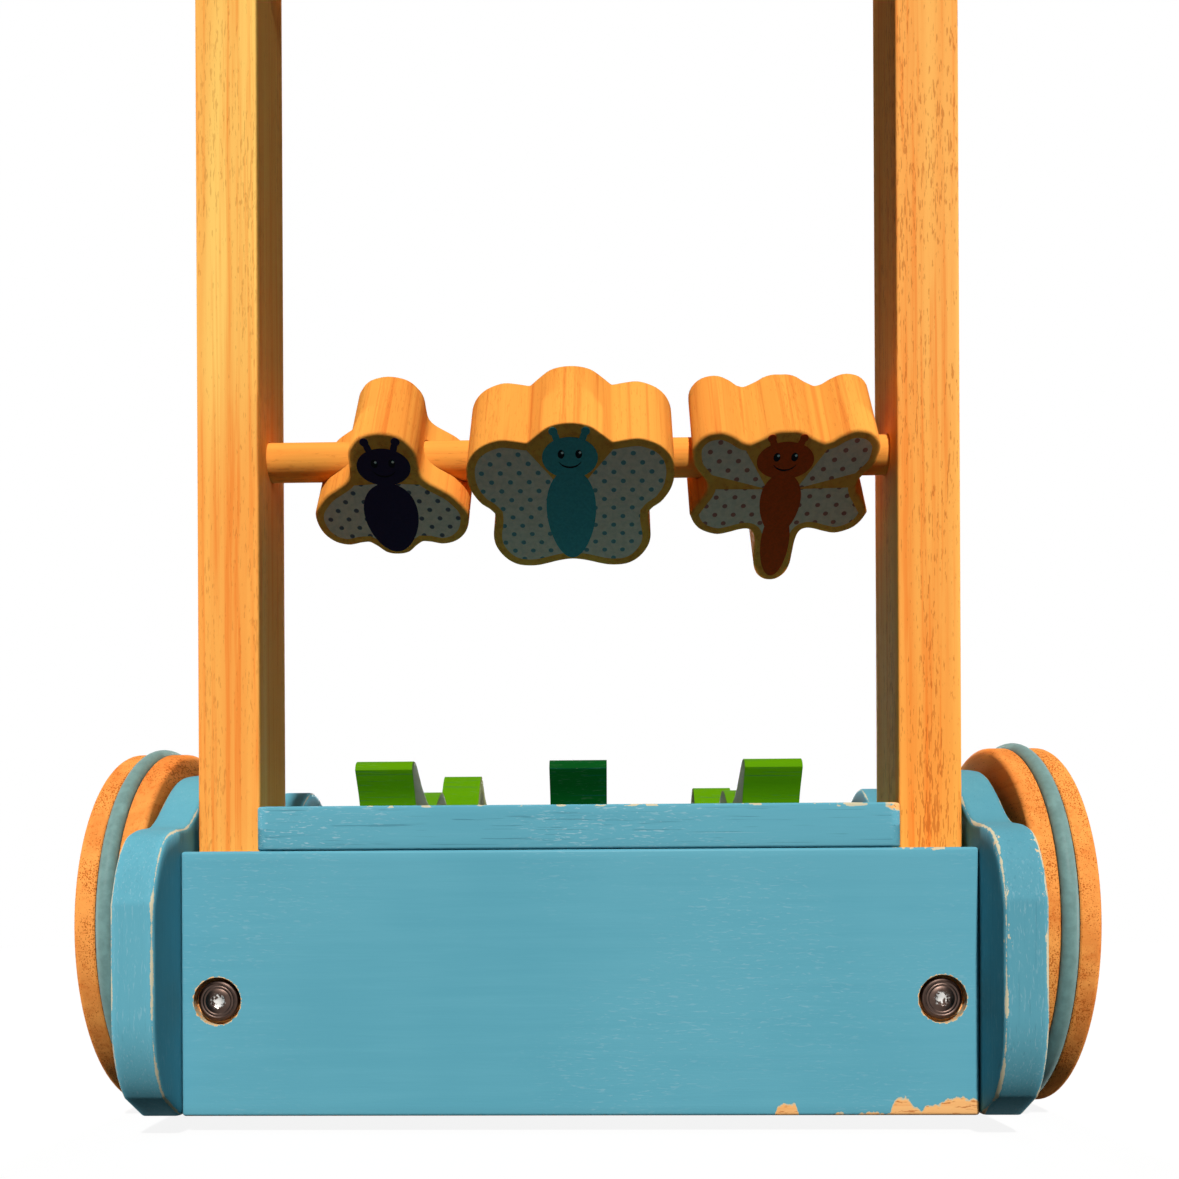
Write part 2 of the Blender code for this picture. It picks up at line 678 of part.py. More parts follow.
def build_insects(wood):
    """Three thick cut-out insects, each free to spin on the rod through its middle."""
    insects = (
        ("bee_spinner", BEE_X, BEE_WIDTH, BEE_HEIGHT, BEE_BELOW_ROD, BEE_SHARES),
        (
            "butterfly_spinner",
            BUTTERFLY_X,
            BUTTERFLY_WIDTH,
            BUTTERFLY_HEIGHT,
            BUTTERFLY_BELOW_ROD,
            BUTTERFLY_SHARES,
        ),
        (
            "dragonfly_spinner",
            DRAGONFLY_X,
            DRAGONFLY_WIDTH,
            DRAGONFLY_HEIGHT,
            DRAGONFLY_BELOW_ROD,
            DRAGONFLY_SHARES,
        ),
    )
    bore = bmesh.new()
    end = UPRIGHT_INNER_X
    rod_into(bore, "X", (0, UPRIGHT_Y, ROD_HEIGHT), -end, end, ROD_RADIUS + RUNNING_GAP, BAR_SIDES)
    bore = cutter_from("spinner_bore", bore)
    for name, x, width, height, below, shares in insects:
        half = [(width / 2 * u, height * v - below) for u, v in shares]
        bm = bmesh.new()
        outline = both_halves(half, CURVE_STEPS)
        plate_into(bm, outline, -INSECT_THICKNESS / 2, INSECT_THICKNESS / 2, "Y")
        insect = add_object(name, bm, wood, (x, UPRIGHT_Y, ROD_HEIGHT))
        insect.rotation_euler.x = math.radians(INSECT_TILT_DEG)
        bevel_edges(insect, INSECT_EDGE)
        boolean(insect, bore)


def wheel_profile():
    """A disc with a bore, a seat for the cap and a groove for the tyre, as a closed ring."""
    bore = AXLE_RADIUS + GAP
    groove = TYRE_THICKNESS / 2 + GAP
    corner = groove * math.tan(math.pi / 8)
    middle = WHEEL_THICKNESS / 2
    centre = TYRE_RADIUS - TYRE_THICKNESS / 2
    seat = CAP_RADIUS + GAP
    seat_x = WHEEL_THICKNESS - CAP_SEAT_DEPTH
    return (
        (0, bore),
        (0, WHEEL_RADIUS - WHEEL_EDGE),
        (WHEEL_EDGE, WHEEL_RADIUS),
        (middle - groove, WHEEL_RADIUS),
        (middle - groove, centre - corner),
        (middle - corner, centre - groove),
        (middle + corner, centre - groove),
        (middle + groove, centre - corner),
        (middle + groove, WHEEL_RADIUS),
        (WHEEL_THICKNESS - WHEEL_EDGE, WHEEL_RADIUS),
        (WHEEL_THICKNESS, WHEEL_RADIUS - WHEEL_EDGE),
        (WHEEL_THICKNESS, seat),
        (seat_x, seat),
        (seat_x, bore),
    )


def tyre_profile():
    """An eight-sided rubber ring that fills the groove and stands proud of the wood."""
    reach = TYRE_THICKNESS / 2 / math.cos(math.pi / 8)
    centre = (WHEEL_THICKNESS / 2, TYRE_RADIUS - TYRE_THICKNESS / 2)
    turns = [math.radians(22.5 + 45 * i) for i in range(8)]
    return tuple((centre[0] + reach * math.cos(t), centre[1] + reach * math.sin(t)) for t in turns)


def cap_profile():
    seat_x = WHEEL_THICKNESS - CAP_SEAT_DEPTH + GAP
    top = WHEEL_THICKNESS + CAP_RISE
    return (
        (seat_x, 0),
        (seat_x, CAP_RADIUS),
        (top - CAP_EDGE, CAP_RADIUS),
        (top, CAP_RADIUS - CAP_EDGE),
        (top, 0),
    )


def bush_profile():
    """A plain bush through the side panel, with a flange that keeps the wheel off it."""
    bore = AXLE_RADIUS + RUNNING_GAP
    flange_in = SIDE_OUTER_X + GAP
    flange_out = flange_in + BUSH_FLANGE_THICKNESS
    return (
        (SIDE_INNER_X, bore),
        (SIDE_INNER_X, BUSH_RADIUS),
        (flange_in, BUSH_RADIUS),
        (flange_in, BUSH_FLANGE_RADIUS),
        (flange_out, BUSH_FLANGE_RADIUS),
        (flange_out, bore),
    )


def build_running_gear(wood, rubber, steel, nylon):
    """Two axles, each fixed to its pair of wheels, running in bushes in the side panels.

    An axle can slide by its play to either side, and both stand pushed to the right.
    """
    axle_end = WHEEL_OUTER_X - CAP_SEAT_DEPTH
    pieces = (
        ("wheel", wheel_profile(), WHEEL_INNER_X, AXLE_PLAY, WHEEL_SIDES, wood, True),
        ("tyre", tyre_profile(), WHEEL_INNER_X, AXLE_PLAY, WHEEL_SIDES, rubber, True),
        ("axle_cap", cap_profile(), WHEEL_INNER_X, AXLE_PLAY, SHAFT_SIDES, steel, False),
        ("axle_bush", bush_profile(), 0, 0, SHAFT_SIDES, nylon, True),
    )
    for end, axle_y in (("rear", REAR_AXLE_Y), ("front", FRONT_AXLE_Y)):
        bm = bmesh.new()
        rod_into(bm, "X", (0, 0, 0), -axle_end, axle_end, AXLE_RADIUS, SHAFT_SIDES)
        add_object(f"{end}_axle", bm, steel, (AXLE_PLAY, axle_y, AXLE_Z))
        for side in ("left", "right"):
            for kind, profile, start, x, sides, material, ring in pieces:
                placed = [(mirrored(side, start + a), r) for a, r in profile]
                bm = bmesh.new()
                turned_into(bm, placed, "X", (0, 0, 0), sides, ring)
                add_object(f"{kind}_{end}_{side}", bm, material, (x, axle_y, AXLE_Z))


def jaw_lift_deg(index):
    """How far a jaw is lifted at rest by its cam. The cams are a third of a turn apart."""
    phase = math.radians(CAM_PHASE_DEG + CAM_STEP_DEG * index)
    return JAW_SWING_DEG / 2 * (1 + math.cos(phase))


def gator_x(index):
    return GATOR_SPACING * (index - 1)


def tooth_line(rise, depth):
    """The zigzag of the mouth from its inner end to the nose, as (y, z)."""
    last = NOSE_Y - TOOTH_PITCH
    first = last - TOOTH_COUNT * TOOTH_PITCH
    line = [(first, rise)]
    for i in range(TOOTH_COUNT):
        line.append((first + TOOTH_PITCH * (i + 0.5), rise + depth))
        line.append((first + TOOTH_PITCH * (i + 1), rise))
    return line


def body_outline():
    """Tail, back and lower jaw of an alligator. The chin hangs in front of the deck."""
    pivot = (PIVOT_Y, PIVOT_Z)
    reach = PIVOT_Y - GATOR_REAR_Y
    knots = [(GATOR_REAR_Y + reach * u, DECK_TOP_Z + TAIL_HEIGHT * v) for u, v in BACK_SHARES]
    back = curve_through(knots, CURVE_STEPS)
    boss = arc(pivot, JAW_BOSS_RADIUS, JAW_BOSS_RADIUS, 130, 0, ARC_STEPS)
    floor = DECK_TOP_Z + LOWER_JAW_HEIGHT
    teeth = tooth_line(floor, TOOTH_DEPTH)
    chin_y = DECK_FRONT_Y + GAP
    reach = NOSE_Y - MOUTH_GAP - chin_y
    chin = [(chin_y + reach * u, GATOR_FLOOR_Z - CHIN_DROP * v) for u, v in CHIN_SHARES]
    front = [(NOSE_Y - TOOTH_PITCH / 2, floor)]
    chin = curve_through(chin, CURVE_STEPS)
    return (
        [(GATOR_REAR_Y, GATOR_FLOOR_Z)]
        + back
        + boss
        + [(PIVOT_Y + JAW_BOSS_RADIUS, floor)]
        + teeth
        + front
        + chin
        + [(chin_y, GATOR_FLOOR_Z)]
    )


def jaw_outline():
    """The hinged head with the mouth closed, about the pivot, as (y, z)."""
    mouth = DECK_TOP_Z + LOWER_JAW_HEIGHT + MOUTH_GAP - PIVOT_Z
    low = DECK_TOP_Z - PIVOT_Z
    head = [(HEAD_LENGTH * u, low + HEAD_HEIGHT * v) for u, v in HEAD_SHARES]
    top = curve_through(head, CURVE_STEPS)
    teeth = [(y - PIVOT_Y, z - PIVOT_Z) for y, z in tooth_line(mouth + PIVOT_Z, TOOTH_DEPTH)]
    nose = [(HEAD_LENGTH - TOOTH_PITCH / 2, mouth)]
    dip = math.degrees(math.asin(mouth / JAW_BOSS_RADIUS))
    ear = arc((0, 0), JAW_BOSS_RADIUS, JAW_BOSS_RADIUS, dip, -270, 2 * ARC_STEPS + 2)
    return top + nose + list(reversed(teeth)) + ear


def build_gators(paints, deck):
    """Fixed bodies with the tongue of the hinge, and the slot that each leg goes through."""
    half_slot = LEG_THICKNESS / 2 + 2 * RUNNING_GAP
    slot_rear = FRONT_AXLE_Y - LEG_LENGTH / 2 - 2 * OVERRUN
    travel = (PIVOT_Z - LEG_BOTTOM_Z) * math.sin(math.radians(JAW_SWING_DEG))
    slot_front = FRONT_AXLE_Y + LEG_LENGTH / 2 + travel + OVERRUN
    slots, ears, pivots = bmesh.new(), bmesh.new(), bmesh.new()
    pivot = (0, PIVOT_Y, PIVOT_Z)
    tongue = JAW_TONGUE_THICKNESS / 2
    outer = GATOR_THICKNESS / 2 + OVERRUN
    bodies = []
    for i, name in enumerate(GATOR_NAMES):
        x = gator_x(i)
        half = GATOR_THICKNESS / 2
        bm = bmesh.new()
        plate_into(bm, body_outline(), x - half, x + half, "X")
        bodies.append(add_object(f"gator_body_{name}", bm, paints[name]))
        low = (x - half_slot, slot_rear, DECK_Z - OVERRUN)
        high = (x + half_slot, slot_front, PIVOT_Z + JAW_BOSS_RADIUS)
        box_into(slots, low, high)
        for low_x, high_x in ((x - outer, x - tongue), (x + tongue, x + outer)):
            rod_into(ears, "X", pivot, low_x, high_x, JAW_BOSS_RADIUS + 2 * GAP, EAR_SIDES)
        rod_into(pivots, "X", pivot, x - outer, x + outer, PIVOT_ROD_RADIUS + GAP, SHAFT_SIDES)
    slot_cutter = cutter_from("leg_slots", slots)
    ear_cutter = cutter_from("ear_clearance", ears)
    pivot_cutter = cutter_from("pivot_bores", pivots)
    boolean(deck, slot_cutter)
    for body in bodies:
        boolean(body, ear_cutter)
        boolean(body, pivot_cutter)
        boolean(body, slot_cutter)


def build_jaws(paints):
    """Hinged heads, forked round the body's tongue, each with a leg down to its cam."""
    fork = JAW_TONGUE_THICKNESS / 2 + GAP
    back = JAW_BOSS_RADIUS + OVERRUN
    front = JAW_BOSS_RADIUS + 2 * GAP
    root_z = DECK_TOP_Z + LOWER_JAW_HEIGHT + 2 * MOUTH_GAP - PIVOT_Z
    for i, name in enumerate(GATOR_NAMES):
        half = GATOR_THICKNESS / 2
        bm = bmesh.new()
        plate_into(bm, jaw_outline(), -half, half, "X")
        jaw = add_object(f"gator_jaw_{name}", bm, paints[name], (gator_x(i), PIVOT_Y, PIVOT_Z))
        jaw.rotation_euler.x = math.radians(jaw_lift_deg(i))
        leg = bmesh.new()
        low = (-LEG_THICKNESS / 2, JAW_LEVER - LEG_LENGTH / 2, LEG_BOTTOM_Z - PIVOT_Z)
        box_into(leg, low, (LEG_THICKNESS / 2, JAW_LEVER + LEG_LENGTH / 2, root_z))
        slot = bmesh.new()
        box_into(slot, (-fork, -back, -back), (fork, front, back))
        bore = bmesh.new()
        end = half + OVERRUN
        wide = PIVOT_ROD_RADIUS + RUNNING_GAP
        rod_into(bore, "X", (0, 0, 0), -end, end, wide, SHAFT_SIDES)
        for label, cut, operation in (
            ("leg", leg, "UNION"),
            ("fork", slot, "DIFFERENCE"),
            ("bore", bore, "DIFFERENCE"),
        ):
            cutter = cutter_from(f"jaw_{label}_{name}", cut)
            cutter.parent = jaw
            boolean(jaw, cutter, operation)


def build_pivot_rod(steel):
    bm = bmesh.new()
    end = GATOR_SPACING + GATOR_THICKNESS / 2 + PIVOT_ROD_OVERHANG
    rod_into(bm, "X", (0, 0, 0), -end, end, PIVOT_ROD_RADIUS, SHAFT_SIDES)
    add_object("jaw_pivot_rod", bm, steel, (0, PIVOT_Y, PIVOT_Z))


def build_cams(wood):
    """Eccentric discs on the front axle, under the legs, a third of a turn apart."""
    bore = bmesh.new()
    centre = (0, FRONT_AXLE_Y, AXLE_Z)
    rod_into(bore, "X", centre, -SIDE_INNER_X, SIDE_INNER_X, AXLE_RADIUS + GAP, SHAFT_SIDES)
    bore = cutter_from("cam_bores", bore)
    for i, name in enumerate(GATOR_NAMES):
        phase = math.radians(CAM_PHASE_DEG + CAM_STEP_DEG * i)
        throw = (0, CAM_THROW * math.sin(phase), CAM_THROW * math.cos(phase))
        x = gator_x(i)
        bm = bmesh.new()
        low, high = x - CAM_THICKNESS / 2, x + CAM_THICKNESS / 2
        rod_into(bm, "X", throw, low, high, CAM_RADIUS, BAR_SIDES)
        cam = add_object(f"cam_{name}", bm, wood, (0, FRONT_AXLE_Y, AXLE_Z))
        boolean(cam, bore)


def main():
    clear_scene()
    blue = make_material("blue_paint", BLUE_PAINT, 0.45, 0.0)
    wood = make_material("plain_wood", PLAIN_WOOD, 0.50, 0.0)
    lime = make_material("lime_paint", LIME_PAINT, 0.30, 0.0)
    green = make_material("green_paint", GREEN_PAINT, 0.30, 0.0)
    rubber = make_material("tyre_rubber", TYRE_RUBBER, 0.65, 0.0)
    dark_steel = make_material("dark_steel", DARK_STEEL, 0.35, 1.0)
    steel = make_material("bright_steel", BRIGHT_STEEL, 0.30, 1.0)
    nylon = make_material("bush_nylon", BUSH_NYLON, 0.45, 0.0)
    paints = {"left": lime, "middle": green, "right": lime}

    panels = build_panels(blue)
    deck = build_deck(blue)
    sides = build_sides(blue)
    build_dowels(wood, panels, sides)
    uprights = build_uprights(wood)
    bars = build_rods(wood, uprights)
    build_panel_bolts(dark_steel, panels, uprights)
    build_bar_bolts(dark_steel, bars["push_bar"], uprights)
    build_insects(wood)
    build_running_gear(wood, rubber, steel, nylon)
    build_gators(paints, deck)
    build_jaws(paints)
    build_pivot_rod(steel)
    build_cams(wood)


main()
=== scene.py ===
"""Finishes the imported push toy: turned and bevelled wood, worn paint, rubber and steel.

Each operator replaces the plain CAD pieces of one kind by modelled ones in the same
place, and gives them a procedural finish. Metres, +Z up, +Y is the way it is pushed.
"""

import json
import math

import bpy
import numpy as np
from mathutils import Matrix, Vector

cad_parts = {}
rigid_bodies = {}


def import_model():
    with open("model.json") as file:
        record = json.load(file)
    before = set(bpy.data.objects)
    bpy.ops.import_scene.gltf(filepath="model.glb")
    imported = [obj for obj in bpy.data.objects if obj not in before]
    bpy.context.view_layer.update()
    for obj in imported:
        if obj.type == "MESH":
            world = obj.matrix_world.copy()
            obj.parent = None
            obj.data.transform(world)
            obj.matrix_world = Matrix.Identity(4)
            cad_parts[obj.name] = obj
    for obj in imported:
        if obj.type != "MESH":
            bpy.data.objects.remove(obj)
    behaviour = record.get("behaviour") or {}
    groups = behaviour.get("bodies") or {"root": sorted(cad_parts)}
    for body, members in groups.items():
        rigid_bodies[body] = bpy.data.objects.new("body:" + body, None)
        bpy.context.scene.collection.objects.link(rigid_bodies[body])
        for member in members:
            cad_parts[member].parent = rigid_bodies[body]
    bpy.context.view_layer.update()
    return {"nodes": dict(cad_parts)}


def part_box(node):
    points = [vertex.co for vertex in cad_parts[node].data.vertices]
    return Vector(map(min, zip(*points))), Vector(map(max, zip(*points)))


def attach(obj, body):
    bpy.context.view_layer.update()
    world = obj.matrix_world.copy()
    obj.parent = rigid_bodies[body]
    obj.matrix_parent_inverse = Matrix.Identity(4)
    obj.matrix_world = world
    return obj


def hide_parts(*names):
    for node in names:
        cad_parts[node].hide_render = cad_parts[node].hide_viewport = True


bl_info = {
    "name": "Push Toy Finisher",
    "version": (1, 0, 0),
    "blender": (4, 5, 0),
    "location": "View3D > Sidebar > Push Toy",
    "description": "Models and paints the pieces of a wooden push toy over its CAD frame",
    "category": "Object",
}

for leftover in list(bpy.data.objects):
    bpy.data.objects.remove(leftover, do_unlink=True)
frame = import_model()

AXES = {"X": Vector((1, 0, 0)), "Y": Vector((0, 1, 0)), "Z": Vector((0, 0, 1))}
SIDES = {"left": -1, "right": 1}
ENDS = ("rear", "front")
GATORS = {"left": "lime", "middle": "green", "right": "lime"}

# Points nearer than this are one, and a turn from this on is a sharp corner
MERGE = 0.00001
CORNER = math.radians(38)

# A cut line's point with less of a turn is dropped, and a run with less of one is straight
FLAT_TURN = math.radians(0.8)
STRAIGHT_TURN = math.radians(1)

# A run this much longer than the next one is straight and not a facet of the same curve
STRAIGHT_RATIO = 2.4

# Sides of a turned piece, and of a round hole or a small turned piece
ROUND_SIDES = 96
HOLE_SIDES = 64

# A run longer than this many rings gets a point where the ring beside a corner crosses it
LONG_RUN = 2.5

# A face whose normal is this near to a direction looks that way
FACING = 0.001

# How wide the ring of faces along the sharp edges of each kind of piece is, in metres
BOARD_RING = 0.004
INSECT_RING = 0.003
GATOR_RING = 0.002

# How far from a sharp edge its distance is stored for the wear
WEAR_REACH = 0.006

# How far a cutter starts outside a face, and the play round a seated piece
PAST = 0.002
PLAY = 0.0003


# Meshes


def pick_only(thing):
    """Leaves one object selected and active, in object mode."""
    if bpy.context.object and bpy.context.object.mode != "OBJECT":
        bpy.ops.object.mode_set(mode="OBJECT")
    bpy.ops.object.select_all(action="DESELECT")
    thing.select_set(True)
    bpy.context.view_layer.objects.active = thing


def edit_whole():
    """Opens the active piece in edit mode with all of it selected."""
    bpy.ops.object.mode_set(mode="EDIT")
    bpy.ops.mesh.select_all(action="SELECT")


def turn_between(before, after):
    return before.angle(after, 0.0)


def cut_lines(node, point, normal):
    """The closed lines where a plane cuts a CAD node, longest first, as points in order."""
    mesh = frame["nodes"][node].data.copy()
    copy = bpy.data.objects.new("cut_line", mesh)
    bpy.context.scene.collection.objects.link(copy)
    pick_only(copy)
    edit_whole()
    bpy.ops.mesh.remove_doubles(threshold=MERGE)
    bpy.ops.mesh.select_all(action="SELECT")
    bpy.ops.mesh.bisect(plane_co=point, plane_no=normal, clear_inner=True, clear_outer=True)
    bpy.ops.object.mode_set(mode="OBJECT")
    places = [vert.co.copy() for vert in mesh.vertices]
    joined = {}
    for edge in mesh.edges:
        a, b = edge.vertices
        joined.setdefault(a, set()).add(b)
        joined.setdefault(b, set()).add(a)
    bpy.data.objects.remove(copy)
    bpy.data.meshes.remove(mesh)
    lines = []
    left = set(joined)
    while left:
        here = min(left)
        line = []
        while here is not None:
            left.discard(here)
            line.append(places[here])
            here = min((v for v in joined[here] if v in left), default=None)
        lines.append(without_flat_points(line))
    lines.sort(key=line_length, reverse=True)
    return lines


def line_length(line):
    """The length of a closed line."""
    return sum((a - b).length for a, b in zip(line, line[1:] + line[:1]))


def without_flat_points(line):
    """Drops the points of a closed line that are doubled or lie on a straight run."""
    kept = [p for p, q in zip(line, line[1:] + line[:1]) if (p - q).length > MERGE]
    count = len(kept)
    turns = [
        turn_between(kept[i] - kept[i - 1], kept[(i + 1) % count] - kept[i]) for i in range(count)
    ]
    return [p for p, turn in zip(kept, turns) if turn > FLAT_TURN]


def smooth_line(line, step):
    """Rounds the facets of a closed line, and keeps its corners and its straight runs."""
    count = len(line)
    runs = [line[(i + 1) % count] - line[i] for i in range(count)]
    arriving, leaving = [], []
    for i, after in enumerate(runs):
        before = runs[i - 1]
        turn = turn_between(before, after)
        ahead, behind = after.normalized(), before.normalized()
        if turn < CORNER:
            if before.length > STRAIGHT_RATIO * after.length:
                ahead = behind
            elif after.length > STRAIGHT_RATIO * before.length:
                behind = ahead
            else:
                ahead = (behind / before.length + ahead / after.length).normalized()
                behind = ahead
        arriving.append(behind)
        leaving.append(ahead)
    smooth = []
    for i, run in enumerate(runs):
        start, end = line[i], line[(i + 1) % count]
        out, into = leaving[i] * run.length, arriving[(i + 1) % count] * run.length
        straight = turn_between(out, run) + turn_between(into, run) < STRAIGHT_TURN
        steps = 1 if straight else max(2, math.ceil(run.length / step))
        for k in range(steps):
            t = k / steps
            a = (2 * t**3 - 3 * t**2 + 1) * start + (t**3 - 2 * t**2 + t) * out
            smooth.append(a + (3 * t**2 - 2 * t**3) * end + (t**3 - t**2) * into)
    return smooth


def corners_of(line):
    """Which points of a closed line are sharp corners."""
    count = len(line)
    return [
        i
        for i in range(count)
        if turn_between(line[i] - line[i - 1], line[(i + 1) % count] - line[i]) >= CORNER
    ]


def with_corner_rings(line, ring):
    """Adds a point on each long run beside a corner, where the ring of faces passes."""
    count = len(line)
    corners = set(corners_of(line))
    ringed = []
    for i, start in enumerate(line):
        end = line[(i + 1) % count]
        run = end - start
        ringed.append(start)
        if run.length > LONG_RUN * ring:
            if i in corners:
                ringed.append(start + run.normalized() * ring)
            if (i + 1) % count in corners:
                ringed.append(end - run.normalized() * ring)
    return ringed


def deselect_points(mesh):
    """Leaves no point and no edge selected, so that faces can be chosen alone."""
    for part in (*mesh.edges, *mesh.vertices):
        part.select = False


def flat_outline(name, places, fill="NGON"):
    """A new circle whose points are moved on to a line's places."""
    bpy.ops.object.select_all(action="DESELECT")
    bpy.ops.mesh.primitive_circle_add(vertices=len(places), radius=1, fill_type=fill)
    piece = bpy.context.object
    piece.name = piece.data.name = name
    for vert, place in zip(piece.data.vertices, places):
        vert.co = place
    return piece


def plate(name, line, along, thickness, rounding, ring):
    """A board of any outline. The line lies on its low face, and along points to the other.

    Returns the piece and its sharp edges, as pairs of points.
    """
    corners = [line[i] for i in corners_of(line)]
    line = with_corner_rings(line, ring)
    piece = flat_outline(name, line)
    edit_whole()
    for part in (ring, thickness - 2 * ring, ring):
        bpy.ops.mesh.extrude_region_move(TRANSFORM_OT_translate={"value": along * part})
    bpy.ops.mesh.inset(thickness=ring, use_even_offset=True)
    bpy.ops.mesh.select_all(action="SELECT")
    bpy.ops.mesh.normals_make_consistent(inside=False)
    bpy.ops.object.mode_set(mode="OBJECT")
    low = Vector(along).dot(line[0])
    deselect_points(piece.data)
    for face in piece.data.polygons:
        flat = abs(abs(face.normal.dot(along)) - 1) < FACING
        face.select = flat and abs(face.center.dot(along) - low) < MERGE
        if face.select:
            for index in face.vertices:
                piece.data.vertices[index].select = True
    bpy.ops.object.mode_set(mode="EDIT")
    bpy.ops.mesh.inset(thickness=ring, use_even_offset=True)
    bpy.ops.object.mode_set(mode="OBJECT")
    if rounding:
        bevel_sharp_edges(piece, rounding)
    ends = list(zip(line, line[1:] + line[:1]))
    across = along * thickness
    sharp = ends + [(a + across, b + across) for a, b in ends]
    sharp += [(corner, corner + across) for corner in corners]
    return piece, sharp


def bevel_sharp_edges(piece, width, segments=4):
    """Rounds all edges that are sharper than a corner's turn."""
    bevel = piece.modifiers.new("Rounding", "BEVEL")
    bevel.width = width
    bevel.segments = segments
    bevel.limit_method = "ANGLE"
    bevel.angle_limit = CORNER
    pick_only(piece)
    bpy.ops.object.modifier_apply(modifier=bevel.name)
    edit_whole()
    bpy.ops.mesh.remove_doubles(threshold=MERGE)
    bpy.ops.object.mode_set(mode="OBJECT")


def split_wide_faces(piece):
    """Splits the faces of more than four sides, so that a hole can be cut in them cleanly."""
    pick_only(piece)
    deselect_points(piece.data)
    for face in piece.data.polygons:
        face.select = len(face.vertices) > 4
    bpy.ops.object.mode_set(mode="EDIT")
    bpy.ops.mesh.select_mode(type="FACE")
    bpy.ops.mesh.quads_convert_to_tris(quad_method="BEAUTY", ngon_method="BEAUTY")
    bpy.ops.mesh.select_mode(type="VERT")
    bpy.ops.object.mode_set(mode="OBJECT")


def close_gaps(piece):
    """Fills the small gaps that a cut can leave where many faces meet."""
    pick_only(piece)
    edit_whole()
    bpy.ops.mesh.remove_doubles(threshold=MERGE)
    bpy.ops.mesh.fill_holes(sides=4)
    bpy.ops.mesh.select_all(action="SELECT")
    bpy.ops.mesh.normals_make_consistent(inside=False)
    bpy.ops.object.mode_set(mode="OBJECT")


def cut(piece, cutter, operation="DIFFERENCE", solver="EXACT"):
    """Cuts a piece with another, or joins the two, and deletes the cutter."""
    step = piece.modifiers.new("Cut", "BOOLEAN")
    step.operation = operation
    step.solver = solver
    step.object = cutter
    pick_only(piece)
    bpy.ops.object.modifier_apply(modifier=step.name)
    bpy.data.objects.remove(cutter, do_unlink=True)


def drill(piece, centre, axis, low, high, radius, sides=HOLE_SIDES):
    """A round hole along an axis, or a hexagonal one with six sides."""
    place = Vector(centre)
    index = "XYZ".index(axis)
    place[index] = (low + high) / 2
    turn = {"X": (0, math.pi / 2, 0), "Y": (math.pi / 2, 0, 0), "Z": (0, 0, 0)}[axis]
    bpy.ops.object.select_all(action="DESELECT")
    bpy.ops.mesh.primitive_cylinder_add(
        vertices=sides, radius=radius, depth=high - low, location=place, rotation=turn
    )
    bpy.ops.object.transform_apply(location=True, rotation=True, scale=True)
    cut(piece, bpy.context.object)


def block(name, corners, up):
    """A block that stands on a flat outline."""
    piece = flat_outline(name, corners)
    bpy.ops.object.mode_set(mode="EDIT")
    bpy.ops.mesh.extrude_region_move(TRANSFORM_OT_translate={"value": up})
    bpy.ops.mesh.select_all(action="SELECT")
    bpy.ops.mesh.normals_make_consistent(inside=False)
    bpy.ops.object.mode_set(mode="OBJECT")
    return piece


def joined(pieces):
    """Makes several meshes one object, named after the first."""
    pick_only(pieces[0])
    for piece in pieces[1:]:
        piece.select_set(True)
    bpy.ops.object.join()
    return pieces[0]


def turned(name, profile, centre, axis, sides=ROUND_SIDES):
    """Spins a line of (distance along the axis, radius) into a closed piece.

    A line that doesn't end on the axis is joined back to its start.
    """
    along = AXES[axis]
    outward = AXES["Z"] if axis != "Z" else AXES["X"]
    centre = Vector(centre)
    places = [centre + along * distance + outward * radius for distance, radius in profile]
    piece = flat_outline(name, places, "NOTHING")
    mesh = piece.data
    on_axis = {i for i, (_, radius) in enumerate(profile) if radius < MERGE}
    if on_axis:
        for vert in mesh.vertices:
            vert.select = vert.index in on_axis
        for edge in mesh.edges:
            edge.select = set(edge.vertices) <= on_axis
        bpy.ops.object.mode_set(mode="EDIT")
        bpy.ops.mesh.delete(type="EDGE")
        bpy.ops.object.mode_set(mode="OBJECT")
    edit_whole()
    bpy.ops.mesh.spin(steps=sides, angle=math.tau, center=centre, axis=along)
    bpy.ops.mesh.select_all(action="SELECT")
    bpy.ops.mesh.remove_doubles(threshold=MERGE)
    bpy.ops.mesh.normals_make_consistent(inside=False)
    bpy.ops.object.mode_set(mode="OBJECT")
    return piece


def rounded_profile(points, radius, steps=4):
    """Rounds the corners of an open profile between its first and last points."""
    line = [Vector(point) for point in points]
    out = [line[0]]
    for before, corner, after in zip(line, line[1:], line[2:]):
        reach = min(radius, (before - corner).length / 2, (after - corner).length / 2)
        start = corner + (before - corner).normalized() * reach
        end = corner + (after - corner).normalized() * reach
        for i in range(steps + 1):
            t = i / steps
            out.append(start * (1 - t) ** 2 + corner * 2 * t * (1 - t) + end * t**2)
    out.append(line[-1])
    return [(point.x, point.y) for point in out]


def mark_edge_distance(piece, sharp):
    """Stores how far each point is from the nearest sharp edge, for the wear."""
    mesh = piece.data
    places = np.empty(len(mesh.vertices) * 3)
    mesh.vertices.foreach_get("co", places)
    places = places.reshape(-1, 3)
    nearest = np.full(len(places), WEAR_REACH)
    for a, b in sharp:
        start, run = np.array(a), np.array(b - a)
        share = np.clip((places - start) @ run / max(run @ run, 1e-18), 0, 1)
        gap = np.linalg.norm(places - start - share[:, None] * run, axis=1)
        nearest = np.minimum(nearest, gap)
    nearest -= nearest.min()
    store = mesh.attributes.new("edge", "FLOAT", "POINT")
    store.data.foreach_set("value", nearest.astype(np.float32))


